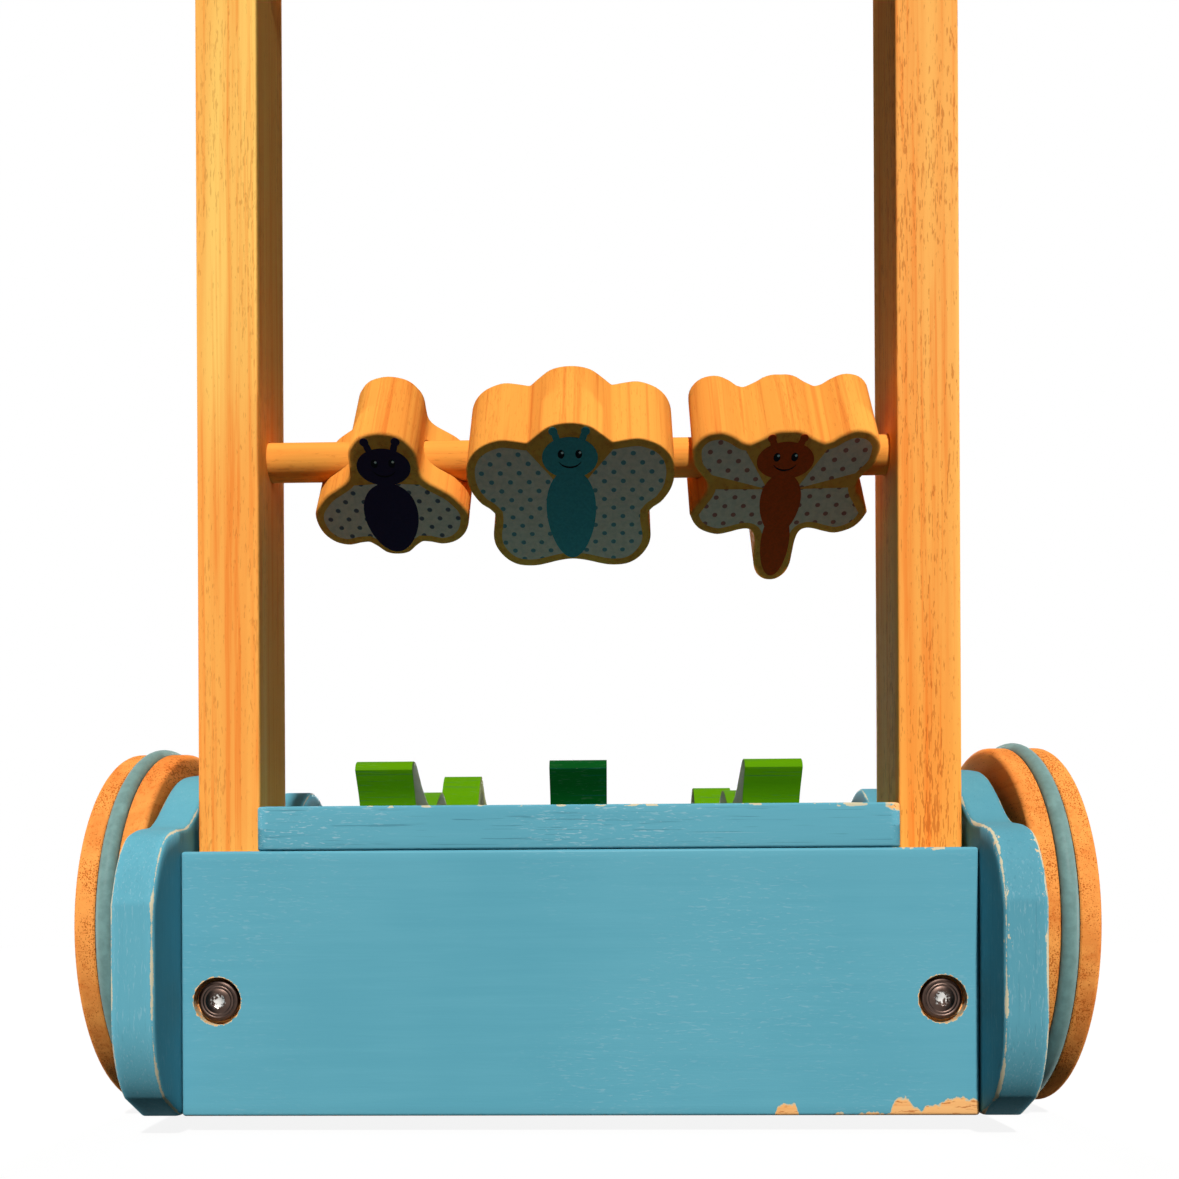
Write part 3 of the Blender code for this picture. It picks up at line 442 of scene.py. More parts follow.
def finish_piece(piece, material, body, slot, *nodes):
    """Shades a piece, gives it its finish and puts it on its body in place of CAD nodes."""
    pick_only(piece)
    bpy.ops.object.shade_smooth_by_angle(angle=CORNER)
    piece.data.materials.clear()
    piece.data.materials.append(material)
    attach(piece, body)
    if nodes:
        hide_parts(*nodes)


def paint_node(node, material):
    """A CAD node that stays gets its finish in the slots that it has."""
    for slot in frame["nodes"][node].material_slots:
        slot.material = material


# Materials


class Tree:
    """Adds nodes to the tree of a material or of a group, and joins them."""

    def __init__(self, tree):
        self.tree = tree
        self.count = 0

    def add(self, kind, inputs=None, **settings):
        node = self.tree.nodes.new(kind)
        node.location = (self.count % 9 * 190, -(self.count // 9) * 260)
        self.count += 1
        for key, value in settings.items():
            setattr(node, key, value)
        for key, value in (inputs or {}).items():
            if isinstance(value, bpy.types.NodeSocket):
                self.tree.links.new(value, node.inputs[key])
            else:
                node.inputs[key].default_value = value
        return node

    def sum(self, operation, a, b=0.0, c=0.0, clamp=False):
        """One operation of a Math node."""
        node = self.add("ShaderNodeMath", {0: a, 1: b, 2: c}, operation=operation)
        node.use_clamp = clamp
        return node.outputs[0]

    def span(self, value, low, high, to_low=0.0, to_high=1.0):
        """Maps low to high smoothly on to 0 to 1, or on to the two other values."""
        ins = {0: value, 1: low, 2: high, 3: to_low, 4: to_high}
        return self.add("ShaderNodeMapRange", ins, interpolation_type="SMOOTHSTEP").outputs[0]

    def span_straight(self, value, low, high):
        """Maps low to high evenly on to 0 to 1."""
        return self.add("ShaderNodeMapRange", {0: value, 1: low, 2: high}).outputs[0]

    def mix(self, share, a, b, blend="MIX"):
        node = self.add("ShaderNodeMix", data_type="RGBA", blend_type=blend)
        for index, value in ((0, share), (6, a), (7, b)):
            if isinstance(value, bpy.types.NodeSocket):
                self.tree.links.new(value, node.inputs[index])
            elif index:
                node.inputs[index].default_value = (*value[:3], 1.0)
            else:
                node.inputs[index].default_value = value
        return node.outputs[2]

    def noise(self, vector, scale, detail=3.0, roughness=0.55, distortion=0.0):
        ins = {"Vector": vector, "Scale": scale, "Detail": detail, "Roughness": roughness}
        ins["Distortion"] = distortion
        return self.add("ShaderNodeTexNoise", ins).outputs[0]

    def stretch(self, vector, scale, location=(0, 0, 0), rotation=(0, 0, 0)):
        ins = {"Vector": vector, "Scale": scale, "Location": location, "Rotation": rotation}
        return self.add("ShaderNodeMapping", ins).outputs[0]

    def split(self, vector):
        return self.add("ShaderNodeSeparateXYZ", {0: vector}).outputs


def new_group(name, inputs, outputs):
    """A shader node group with named sockets. Each is (name, kind, default)."""
    tree = bpy.data.node_groups.new(name, "ShaderNodeTree")
    for label, kind, default in inputs:
        socket = tree.interface.new_socket(label, in_out="INPUT", socket_type=f"NodeSocket{kind}")
        if default is not None:
            socket.default_value = default
    for label, kind in outputs:
        tree.interface.new_socket(label, in_out="OUTPUT", socket_type=f"NodeSocket{kind}")
    work = Tree(tree)
    source = work.add("NodeGroupInput").outputs
    sink = work.add("NodeGroupOutput").inputs
    return work, source, sink


def close_group(work, sink, **values):
    """Joins the results to a group's outputs."""
    for label, value in values.items():
        work.tree.links.new(value, sink[label.replace("_", " ")])


def grain_group():
    """Wood grain along X: wide bands, fine brown streaks and short dark pores."""
    if "Wood Grain" in bpy.data.node_groups:
        return bpy.data.node_groups["Wood Grain"]
    work, source, sink = new_group(
        "Wood Grain",
        (
            ("Vector", "Vector", None),
            ("Light", "Color", (0.8, 0.42, 0.14, 1)),
            ("Dark", "Color", (0.5, 0.2, 0.05, 1)),
            ("Fleck", "Color", (0.46, 0.100, 0.012, 1)),
            ("Bands", "Float", 0.6),
            ("Streaks", "Float", 0.6),
            ("Flecks", "Float", 0.6),
            ("Pore", "Float", 0.13),
            ("Density", "Float", 0.0),
        ),
        (("Color", "Color"), ("Height", "Float"), ("Roughness", "Float")),
    )
    place = source["Vector"]
    wide = work.noise(work.stretch(place, (1.6, 48.0, 48.0)), 1.0, 3.0, 0.55, 0.6)
    streak = work.noise(work.stretch(place, (7.0, 420.0, 420.0)), 1.0, 4.0, 0.65, 0.4)
    ins = {0: place, 1: (1700.0, 1700.0, 1700.0)}
    fine = work.add("ShaderNodeVectorMath", ins, operation="MULTIPLY")
    along = work.sum("MULTIPLY", work.split(fine.outputs[0])[0], source["Pore"])
    across = work.split(fine.outputs[0])
    fine = work.add("ShaderNodeCombineXYZ", {0: along, 1: across[1], 2: across[2]}).outputs[0]
    pore = work.noise(fine, 1.0, 2.0, 0.55)
    patch = work.noise(work.stretch(place, (9.0, 60.0, 60.0)), 1.0, 2.0, 0.5)
    bands = work.sum("MULTIPLY", work.span(wide, 0.36, 0.66), source["Bands"])
    lines = work.sum("MULTIPLY", work.span(streak, 0.47, 0.72), source["Streaks"])
    share = work.sum("ADD", bands, lines, clamp=True)
    colour = work.mix(share, source["Light"], source["Dark"])
    level = work.span(patch, 0.36, 0.66, 0.68, 0.555)
    level = work.sum("SUBTRACT", level, source["Density"])
    fleck = work.span(work.sum("SUBTRACT", pore, level), 0.0, 0.05)
    fleck = work.sum("MULTIPLY", fleck, source["Flecks"])
    colour = work.mix(fleck, colour, source["Fleck"])
    height = work.sum("SUBTRACT", work.span(streak, 0.6, 0.3), fleck)
    close_group(work, sink, Color=colour, Height=height, Roughness=work.span(wide, 0.3, 0.7))
    return work.tree


def paint_group():
    """Paint on wood with its grain along X, worn through to a cream primer and bare wood, with
    painted highlights as its glints.
    """
    if "Worn Paint" in bpy.data.node_groups:
        return bpy.data.node_groups["Worn Paint"]
    work, source, sink = new_group(
        "Worn Paint",
        (
            ("Vector", "Vector", None),
            ("Paint", "Color", (0.1, 0.4, 0.5, 1)),
            ("Wood", "Color", (0.8, 0.4, 0.15, 1)),
            ("Primer", "Color", (0.60, 0.53, 0.36, 1)),
            ("Edge", "Float", 1.0),
            ("Wear", "Float", 0.3),
            ("Scratches", "Float", 0.2),
            ("Cracks", "Float", 0.0),
            ("Glints", "Float", 0.0),
            ("Chips", "Float", 0.0),
        ),
        (("Color", "Color"), ("Height", "Float"), ("Roughness", "Float")),
    )
    place = source["Vector"]
    broad = work.noise(place, 8.0, 3.0, 0.6)
    streak = work.noise(work.stretch(place, (12.0, 240.0, 240.0)), 1.0, 4.0, 0.65)
    hair = work.noise(work.stretch(place, (60.0, 1300.0, 1300.0)), 1.0, 3.0, 0.6)
    tone = work.sum("MULTIPLY_ADD", streak, 0.35, work.sum("MULTIPLY", broad, 0.65))
    dark = work.mix(1.0, source["Paint"], (0.95, 0.96, 0.965), "MULTIPLY")
    light = work.mix(1.0, source["Paint"], (1.09, 1.03, 1.02), "MULTIPLY")
    paint = work.mix(work.span(tone, 0.38, 0.62), dark, light)
    # Painted highlights: short pale dashes in broad patches, mixed towards white as far as the
    # Glints share says
    wave = work.noise(work.stretch(place, (260.0, 1500.0, 1500.0)), 1.0, 2.0, 0.5, 0.8)
    painted_glint_patch = work.noise(place, 11.0, 2.0, 0.5)
    wave = work.sum("MULTIPLY", work.span(wave, 0.56, 0.72), work.span(painted_glint_patch, 0.42, 0.62))
    bright = work.mix(0.35, source["Paint"], (1.0, 1.0, 1.0))
    paint = work.mix(work.sum("MULTIPLY", wave, source["Glints"]), paint, bright)
    crack = work.noise(work.stretch(place, (34.0, 1700.0, 1700.0)), 1.0, 2.0, 0.5, 0.3)
    crack = work.sum("MULTIPLY", work.span(crack, 0.37, 0.32), source["Cracks"])
    paint = work.mix(crack, paint, (0.01, 0.06, 0.09))
    scratch = work.noise(work.stretch(place, (16.0, 1700.0, 1700.0)), 1.0, 1.0, 0.4)
    scratch = work.span(scratch, 0.73, 0.78)
    scratch = work.sum("MULTIPLY", scratch, source["Scratches"])
    scratch = work.sum("MULTIPLY", scratch, work.span(broad, 0.42, 0.62))
    paint = work.mix(scratch, paint, bright)
    ragged = work.noise(place, 1100.0, 3.0, 0.7)
    where = work.noise(place, 60.0, 4.0, 0.65)
    reach = work.span(where, 0.36, 0.70, -0.00005, 0.00055)
    reach = work.sum("MULTIPLY", reach, source["Wear"])
    reach = work.sum("MULTIPLY_ADD", work.sum("SUBTRACT", ragged, 0.5), 0.0006, reach)
    gap = work.sum("SUBTRACT", source["Edge"], reach)
    spared = work.sum("MULTIPLY", work.span_straight(source["Wear"], 0.2, 0.0), 0.0003)
    gap = work.sum("ADD", gap, spared)
    primed = work.span(gap, 0.00006, -0.00002)
    chips = source["Chips"]
    primed = work.sum("MAXIMUM", primed, work.span(chips, 0.40, 0.45))
    bare = work.sum("MAXIMUM", work.span(gap, -0.0007, -0.0010), work.span(chips, 0.58, 0.64))
    colour = work.mix(primed, paint, source["Primer"])
    colour = work.mix(bare, colour, source["Wood"])
    height = work.sum("MULTIPLY_ADD", work.span(hair, 0.25, 0.75), 0.10, 1.0)
    height = work.sum("MULTIPLY_ADD", work.span(streak, 0.3, 0.7), 0.10, height)
    height = work.sum("SUBTRACT", height, work.sum("MULTIPLY", crack, 0.8))
    height = work.sum("SUBTRACT", height, work.sum("MULTIPLY", primed, 0.6))
    rough = work.sum("MULTIPLY_ADD", primed, 0.3, work.span(broad, 0.3, 0.7, 0.28, 0.42))
    close_group(work, sink, Color=colour, Height=height, Roughness=rough)
    return work.tree


def new_material(name):
    """A material with its node tree and its shader."""
    material = bpy.data.materials.new(name)
    material.use_nodes = True
    work = Tree(material.node_tree)
    shader = material.node_tree.nodes["Principled BSDF"]
    shader.location = (1900, 0)
    material.node_tree.nodes["Material Output"].location = (2200, 0)
    return material, work, shader


def surface(work, shader, colour, roughness, height, strength=0.3, distance=0.0003):
    """Joins a colour, a roughness and a height to the shader."""
    bump = work.add("ShaderNodeBump", {"Height": height})
    bump.inputs["Strength"].default_value = strength
    bump.inputs["Distance"].default_value = distance
    for socket, value in (("Base Color", colour), ("Roughness", roughness)):
        work.tree.links.new(value, shader.inputs[socket])
    work.tree.links.new(bump.outputs[0], shader.inputs["Normal"])


def set_gloss(material, level):
    """Sets how much light a finish throws back straight."""
    shader = material.node_tree.nodes["Principled BSDF"]
    shader.inputs["Specular IOR Level"].default_value = level


# Turns that bring the way that the grain runs on to X
GRAIN_TURNS = {"X": (0, 0, 0), "Y": (0, 0, -math.pi / 2), "Z": (0, math.pi / 2, 0)}


def wood_material(name, turn, light, dark, looks, tints=(), foot=None):
    """Bare wood. The looks are its bands, streaks and flecks, and how short and dense those are.

    Each tint takes hold between two heights. The foot is two heights and how dense the
    flecks are from the second down.
    """
    material, work, shader = new_material(name)
    place = work.add("ShaderNodeTexCoord").outputs["Object"]
    z = work.split(place)[2]
    place = work.stretch(place, (1, 1, 1), (0, 0, 0), turn)
    group = work.add("ShaderNodeGroup", node_tree=grain_group())
    labels = ("Bands", "Streaks", "Flecks", "Pore", "Density")
    values = (*zip(labels, looks), ("Light", (*light, 1)), ("Dark", (*dark, 1)))
    for key, value in values:
        group.inputs[key].default_value = value
    work.tree.links.new(place, group.inputs["Vector"])
    if foot:
        dense = work.span(z, foot[0], foot[1], looks[4], foot[2])
        work.tree.links.new(dense, group.inputs["Density"])
    colour = group.outputs["Color"]
    for start, end, tint in tints:
        colour = work.mix(work.span(z, start, end), colour, tint, "MULTIPLY")
    rough = work.span(group.outputs["Roughness"], 0.0, 1.0, 0.78, 0.92)
    surface(work, shader, colour, rough, group.outputs["Height"], 0.22, 0.0002)
    set_gloss(material, 0.03)
    return material


def paint_material(name, paint, looks, turn=(0, 0, 0), chips=None, dull=0.0):
    """Paint with worn edges. The looks are its wear, scratches, cracks and glints, which are
    painted highlights.

    The chips are a function that makes the mask of its flakes. Dull is added to its roughness.
    """
    material, work, shader = new_material(name)
    place = work.add("ShaderNodeTexCoord").outputs["Object"]
    along = work.stretch(place, (1, 1, 1), (0, 0, 0), turn)
    edge = work.add("ShaderNodeAttribute", attribute_name="edge").outputs["Fac"]
    wood = work.add("ShaderNodeGroup", node_tree=grain_group())
    wood.inputs["Light"].default_value = (*colours().bared_wood, 1)
    wood.inputs["Dark"].default_value = (*colours().bared_wood_dark, 1)
    wood.inputs["Flecks"].default_value = 0.7
    wood.inputs["Density"].default_value = 0.03
    work.tree.links.new(along, wood.inputs["Vector"])
    group = work.add("ShaderNodeGroup", node_tree=paint_group())
    group.inputs["Paint"].default_value = (*paint, 1)
    for label, look in zip(("Wear", "Scratches", "Cracks", "Glints"), looks):
        group.inputs[label].default_value = look
    work.tree.links.new(along, group.inputs["Vector"])
    work.tree.links.new(edge, group.inputs["Edge"])
    work.tree.links.new(wood.outputs["Color"], group.inputs["Wood"])
    if chips:
        work.tree.links.new(chips(work, place, edge), group.inputs["Chips"])
    out = group.outputs
    rough = work.sum("ADD", out["Roughness"], dull)
    surface(work, shader, out["Color"], rough, out["Height"], 0.35, 0.0003)
    set_gloss(material, 0.07)
    return material


# Where along the panel's foot the flakes are, and how high the highest reach
CHIPPED_FOOT = (0.070, 0.151)
CHIPPED_HEIGHT = 0.0074

# How far outside a bolt's head the bared ring round its counterbore is halfway
RING_START = 0.0011

# How high the flakes reach along the right half of the panel's foot, as shares
CHIP_HEIGHTS = (
    (0.000, 0.00),
    (0.045, 0.00),
    (0.060, 0.62),
    (0.140, 0.60),
    (0.160, 0.00),
    (0.300, 0.00),
    (0.340, 0.22),
    (0.385, 0.00),
    (0.420, 0.05),
    (0.500, 0.26),
    (0.575, 0.12),
    (0.595, 0.80),
    (0.645, 0.98),
    (0.715, 0.20),
    (0.740, 0.52),
    (0.800, 0.62),
    (0.880, 1.00),
    (0.960, 0.85),
    (1.000, 0.60),
)


def distance_from(work, place, centre):
    """How far the surface is from an axis along Y."""
    x, _, z = work.split(place)[:3]
    across, up = work.sum("SUBTRACT", x, centre.x), work.sum("SUBTRACT", z, centre.z)
    square = work.sum("MULTIPLY_ADD", across, across, work.sum("MULTIPLY", up, up))
    return work.sum("SQRT", square)


def panel_chips(work, place, edge):
    """Flakes along the foot of the back panel, and the bare wood round its counterbores."""
    x, _, z = work.split(place)[:3]
    ramp = work.add("ShaderNodeValToRGB", {0: work.span_straight(x, *CHIPPED_FOOT)})
    stops = ramp.color_ramp.elements
    for i, (share, rise) in enumerate(CHIP_HEIGHTS):
        stop = stops[i] if i < 2 else stops.new(share)
        stop.position = share
        stop.color = (rise, rise, rise, 1)
    rag = work.noise(work.stretch(place, (420.0, 1.0, 300.0)), 1.0, 3.0, 0.6)
    level = work.sum("MULTIPLY", ramp.outputs[0], CHIPPED_HEIGHT)
    level = work.sum("ADD", level, work.span(rag, 0.3, 0.7, -0.0009, 0.0005))
    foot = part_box("back_panel")[0].z
    rise = work.sum("SUBTRACT", work.sum("SUBTRACT", z, foot), level)
    flakes = work.span(rise, 0.0022, -0.0026)
    rings = []
    for side in SIDES:
        bolt = centre_of(f"panel_bolt_{side}")
        gap = distance_from(work, place, bolt)
        frayed = work.noise(place, 700.0, 2.0, 0.6)
        gap = work.sum("ADD", gap, work.span(frayed, 0.35, 0.7, 0.00025, -0.00035))
        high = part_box(f"panel_bolt_{side}")[1].z - bolt.z + RING_START
        rings.append(work.span(gap, high + 0.0011, high - 0.0010))
    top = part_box("back_panel")[1].z
    nick = work.noise(work.stretch(place, (260.0, 1.0, 260.0)), 1.0, 3.0, 0.6)
    nick = work.span(nick, 0.40, 0.62, 0.0002, 0.0016)
    depth = work.sum("MULTIPLY", work.span(x, 0.112, 0.124), nick)
    line = work.sum("SUBTRACT", work.sum("ADD", z, depth), top)
    line = work.span(line, -0.0004, 0.0006, 0.0, 0.54)
    line = work.sum("MULTIPLY", line, work.span(work.sum("ABSOLUTE", x), 0.115, 0.119))
    line = work.sum("MULTIPLY", line, work.span(x, 0.139, 0.137))
    flakes = work.sum("MAXIMUM", flakes, line)
    return work.sum("MAXIMUM", flakes, work.sum("MAXIMUM", *rings))


def deck_chips(work, place, edge):
    """Flakes along the top of the deck board's rear edge, the largest at its right end."""
    x, y, z = work.split(place)[:3]
    corner = work.sum("MULTIPLY", work.span(x, 0.1125, 0.1190), work.span(z, 0.1180, 0.1224))
    blot = work.noise(work.stretch(place, (240.0, 240.0, 500.0)), 1.0, 3.0, 0.6)
    corner = work.sum("MULTIPLY", corner, work.span(blot, 0.30, 0.50, 0.3, 1.0))
    flake = work.noise(work.stretch(place, (110.0, 110.0, 300.0)), 1.0, 3.0, 0.6)
    top = work.span(z, 0.1215, 0.1236)
    top = work.sum("MULTIPLY", top, work.span(flake, 0.48, 0.64, 0.0, 0.56))
    away = work.sum("ABSOLUTE", work.sum("SUBTRACT", x, 0.1030))
    second = work.span(away, 0.0075, 0.0050)
    second = work.sum("MULTIPLY", second, work.span(z, 0.1206, 0.1230, 0.0, 0.54))
    second = work.sum("MULTIPLY", second, work.span(flake, 0.25, 0.45))
    top = work.sum("MAXIMUM", top, second)
    rear = work.span(y, -0.1600, -0.1615)
    rear = work.sum("MULTIPLY", rear, work.sum("MAXIMUM", work.span(edge, 0.0030, 0.0015), corner))
    return work.sum("MULTIPLY", rear, work.sum("MAXIMUM", corner, top))


def side_chips(work, place, edge):
    """Flakes beside the edges of the right side panel's rear end."""
    y, z = work.split(place)[1:3]
    near = work.span(edge, 0.0052, 0.0008)
    near = work.sum("MULTIPLY", near, work.span(z, 0.030, 0.100, 0.5, 1.0))
    near = work.sum("MULTIPLY", near, work.span(y, -0.165, -0.185))
    blot = work.noise(work.stretch(place, (420.0, 420.0, 200.0)), 1.0, 4.0, 0.65)
    return work.sum("MULTIPLY", near, work.span(blot, 0.48, 0.70, 0.0, 0.62))


def plain_material(name, colour, roughness, metallic=0.0, scale=300.0, bright=None):
    """Rubber, steel or nylon: one colour with a fine mottle and a little bump.

    Bright is a function that makes the mask of where a pale highlight is painted on the metal.
    """
    material, work, shader = new_material(name)
    place = work.add("ShaderNodeTexCoord").outputs["Object"]
    mottle = work.noise(place, scale, 4.0, 0.6)
    darker = tuple(part * 0.8 for part in colour)
    tint = work.mix(work.span(mottle, 0.3, 0.7), darker, colour)
    if bright:
        # Mixes in the painted highlight where the mask says
        tint = work.mix(bright(work, place), tint, tuple(colours().painted_glint_steel))
    rough = work.span(mottle, 0.3, 0.7, roughness * 0.85, roughness * 1.15)
    shader.inputs["Metallic"].default_value = metallic
    surface(work, shader, tint, rough, mottle, 0.12, 0.0001)
    return material


def painted_socket_glint(work, place):
    """Where a highlight is painted into the sockets of the panel bolts, as pale steel."""
    frayed = work.span(work.noise(place, 900.0, 2.0, 0.6), 0.35, 0.65, -0.0008, 0.0010)
    shines = []
    for side in SIDES:
        bolt = centre_of(f"panel_bolt_{side}")
        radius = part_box(f"panel_bolt_{side}")[1].z - bolt.z
        gap = work.sum("ADD", distance_from(work, place, bolt), frayed)
        shines.append(work.span(gap, radius * 0.31, radius * 0.20))
    return work.sum("MAXIMUM", *shines)


def spots_group():
    """Round spots in staggered rows across X and up Z."""
    if "Spots" in bpy.data.node_groups:
        return bpy.data.node_groups["Spots"]
    inputs = (("Vector", "Vector", None), ("Across", "Float", 0.0074), ("Up", "Float", 0.0080))
    inputs += (("Radius", "Float", 0.0010),)
    work, source, sink = new_group("Spots", inputs, (("Mask", "Float"),))
    x, _, z = work.split(source["Vector"])[:3]
    column = work.sum("DIVIDE", x, source["Across"])
    row = work.sum("DIVIDE", z, source["Up"])
    nearest = []
    for shift in (0.0, 0.5):
        gaps = []
        for share, step in ((column, "Across"), (row, "Up")):
            share = work.sum("FRACT", work.sum("ADD", share, 100.0 + shift))
            gaps.append(work.sum("MULTIPLY", work.sum("SUBTRACT", share, 0.5), source[step]))
        squares = [work.sum("MULTIPLY", gap, gap) for gap in gaps]
        nearest.append(work.sum("SQRT", work.sum("ADD", *squares)))
    gap = work.sum("SUBTRACT", work.sum("MINIMUM", *nearest), source["Radius"])
    close_group(work, sink, Mask=work.span(gap, 0.0001, -0.0001))
    return work.tree


def spotted_material(name, ground, spot):
    """Printed wings with staggered spots, in the plane of the insects' faces."""
    material, work, shader = new_material(name)
    place = work.add("ShaderNodeTexCoord").outputs["Object"]
    place = work.stretch(place, (1, 1, 1), (0, 0, 0), (-sizes().insect_tilt, 0, 0))
    group = work.add("ShaderNodeGroup", node_tree=spots_group())
    work.tree.links.new(place, group.inputs["Vector"])
    mottle = work.noise(place, 500.0, 3.0, 0.6)
    shaded = tuple(part * 0.86 for part in ground)
    ground = work.mix(work.span(mottle, 0.35, 0.65), shaded, ground)
    colour = work.mix(group.outputs["Mask"], ground, spot)
    rough = work.span(mottle, 0.3, 0.7, 0.45, 0.55)
    surface(work, shader, colour, rough, mottle, 0.1, 0.0001)
    set_gloss(material, 0.04)
    return material


# Settings


def length_setting(name, description, default, low=0.0):
    return bpy.props.FloatProperty(
        name=name,
        description=description,
        default=default,
        min=low,
        subtype="DISTANCE",
        unit="LENGTH",
    )


def share_setting(name, description, default, low, high):
    return bpy.props.FloatProperty(
        name=name, description=description, default=default, min=low, max=high
    )


class PushToySizes(bpy.types.PropertyGroup):
    """Sizes of what the finisher adds to the CAD pieces."""

    board_rounding: length_setting(
        "Board rounding", "How far the edges of the painted boards are rounded", 0.0012
    )
    side_rounding: length_setting(
        "Side rounding", "How far the edges of the side panels are rounded", 0.0020
    )
    post_rounding: length_setting(
        "Upright rounding", "How far the edges of the uprights are rounded", 0.0016
    )
    insect_rounding: length_setting(
        "Insect rounding", "How far the rims of the insects are rounded", 0.0012
    )
    gator_rounding: length_setting(
        "Alligator rounding", "How far the edges of the alligators are rounded", 0.0014
    )
    bolt_head_share: share_setting(
        "Bolt head", "Width of the finished bolt heads as a share of the CAD ones", 0.965, 0.5, 1.15
    )
    tyre_share: share_setting(
        "Tyre", "Thickness of the finished tyre rings as a share of the CAD ones", 0.92, 0.5, 1.0
    )
    tail_hollow: length_setting(
        "Tail hollow", "How far the alligators' tails are hollowed under their tips", 0.0110
    )
    foot_height: length_setting(
        "Foot", "How high the straight cut under the rear of a side panel reaches", 0.0085
    )
    snout_share: share_setting(
        "Snout", "The snouts' height above their teeth as a share of the CAD's", 0.22, 0.1, 1.0
    )
    art_margin: length_setting(
        "Artwork margin", "How much bare wood shows round the insects' wings", 0.0034
    )
    art_lift: length_setting(
        "Artwork lift", "How thick each layer of the insects' artwork is", 0.00006
    )
    insect_tilt: bpy.props.FloatProperty(
        name="Insect tilt",
        description="How far the insects' faces lean back at rest",
        default=math.radians(54.0),
        subtype="ANGLE",
        unit="ROTATION",
    )
    curve_step: length_setting(
        "Curve step", "Longest straight piece in a curved outline", 0.0020, 0.0005
    )


def colour_setting(name, description, default):
    return bpy.props.FloatVectorProperty(
        name=name,
        description=description,
        default=default,
        size=3,
        min=0,
        max=1,
        subtype="COLOR",
    )


class PushToyColours(bpy.types.PropertyGroup):
    """Colours of the finishes, linear."""

    blue: colour_setting("Blue", "Paint of the boards", (0.110, 0.372, 0.470))
    lime: colour_setting("Lime", "Paint of the outer alligators", (0.090, 0.270, 0.001))
    lime_side: colour_setting(
        "Lime, sides", "The outer alligators' side faces", (0.200, 0.220, 0.060)
    )
    green: colour_setting("Green", "Paint of the middle alligator", (0.001, 0.066, 0.008))
    wood: colour_setting("Wood", "Uprights, light", (0.980, 0.470, 0.100))
    wood_dark: colour_setting("Wood, dark", "Uprights, in the bands", (0.900, 0.275, 0.045))
    orange_wood: colour_setting("Orange wood", "Rod and insects", (0.900, 0.370, 0.062))
    orange_wood_dark: colour_setting(
        "Orange wood, dark", "The same, in the bands", (0.740, 0.210, 0.032)
    )
    wheel_wood: colour_setting("Wheel wood", "Wheels", (0.930, 0.355, 0.080))
    wheel_wood_dark: colour_setting(
        "Wheel wood, dark", "Wheels, in the bands", (0.680, 0.180, 0.032)
    )
    bared_wood: colour_setting("Bared wood", "Wood under the paint", (0.930, 0.500, 0.190))
    bared_wood_dark: colour_setting(
        "Bared wood, dark", "The same, in the bands", (0.780, 0.310, 0.085)
    )
    art_bee: colour_setting("Bee", "The bee's head and body", (0.030, 0.018, 0.045))
    art_butterfly: colour_setting(
        "Butterfly", "The butterfly's head and body", (0.075, 0.290, 0.310)
    )
    art_dragonfly: colour_setting(
        "Dragonfly", "The dragonfly's head and body", (0.600, 0.070, 0.014)
    )
    art_wing: colour_setting("Wings", "Ground of the insects' wings", (0.800, 0.540, 0.410))
    art_spot: colour_setting("Spots", "Spots on the insects' wings", (0.210, 0.180, 0.180))
    art_ink: colour_setting("Ink", "Eyes and mouths", (0.008, 0.008, 0.010))
    art_white: colour_setting("White", "Glints in the eyes", (0.800, 0.800, 0.780))
    rubber: colour_setting("Rubber", "Tyre rings", (0.175, 0.300, 0.285))
    dark_steel: colour_setting("Dark steel", "Bolts", (0.095, 0.062, 0.050))
    # A pale steel colour painted in the bolts' sockets as their highlight
    painted_glint_steel: colour_setting("Painted glint steel", "Inside the bolts' sockets", (0.780, 0.760, 0.720))
    steel: colour_setting("Steel", "Axles and caps", (0.560, 0.550, 0.530))
    nylon: colour_setting("Nylon", "Bushes", (0.760, 0.740, 0.690))


def sizes():
    return bpy.context.scene.push_toy_sizes


def colours():
    return bpy.context.scene.push_toy_colours


def material_named(name, make, *values):
    """A finish is made once and shared by the pieces that have it."""
    return bpy.data.materials.get(name) or make(name, *values)


# What the roughness of paint gains where it is seen at a low angle, and how dark the right
# side panel's paint is beside the others'
DULL_PAINT = 0.3
SHADED_SIDE = 0.84

# The alligators' wear, scratches, cracks and painted glints
GATOR_LOOKS = (0.10, 0.05, 0.35, 0.05)


def blue_paint(place):
    """The boards' paint, worn as each place is: its looks, its grain and its flakes."""
    looks, grain, chips = {
        "panel": ((0.0, 0.03, 0.0, 0.20), "X", panel_chips),
        "deck": ((0.5, 0.3, 0.30, 0.70), "X", deck_chips),
        "front": ((0.2, 0.05, 0.0, 0.2), "X", None),
        "left": ((0.62, 0.3, 0.1, 0.22), "Z", None),
        "right": ((0.85, 0.4, 0.15, 0.25), "Z", side_chips),
    }[place]
    shade = SHADED_SIDE if place == "right" else 1.0
    paint = tuple(part * shade for part in colours().blue)
    name = f"Blue paint, {place}"
    dull = DULL_PAINT if place in ("deck", "left", "right") else 0.0
    return material_named(name, paint_material, paint, looks, GRAIN_TURNS[grain], chips, dull)


def gator_paint(name, shade, looks):
    """The alligators' paint, duller than the boards', and browner on the lime ones' sides."""
    material = paint_material(name, shade, looks, dull=DULL_PAINT)
    set_gloss(material, 0.02)
    if name == "Lime paint":
        work = Tree(material.node_tree)
        facing = work.add("ShaderNodeTexCoord").outputs["Normal"]
        side = work.span(work.sum("ABSOLUTE", work.split(facing)[0]), 0.80, 0.92)
        base = material.node_tree.nodes["Principled BSDF"].inputs["Base Color"]
        colour = work.mix(side, base.links[0].from_socket, tuple(colours().lime_side))
        work.tree.links.new(colour, base)
    return material


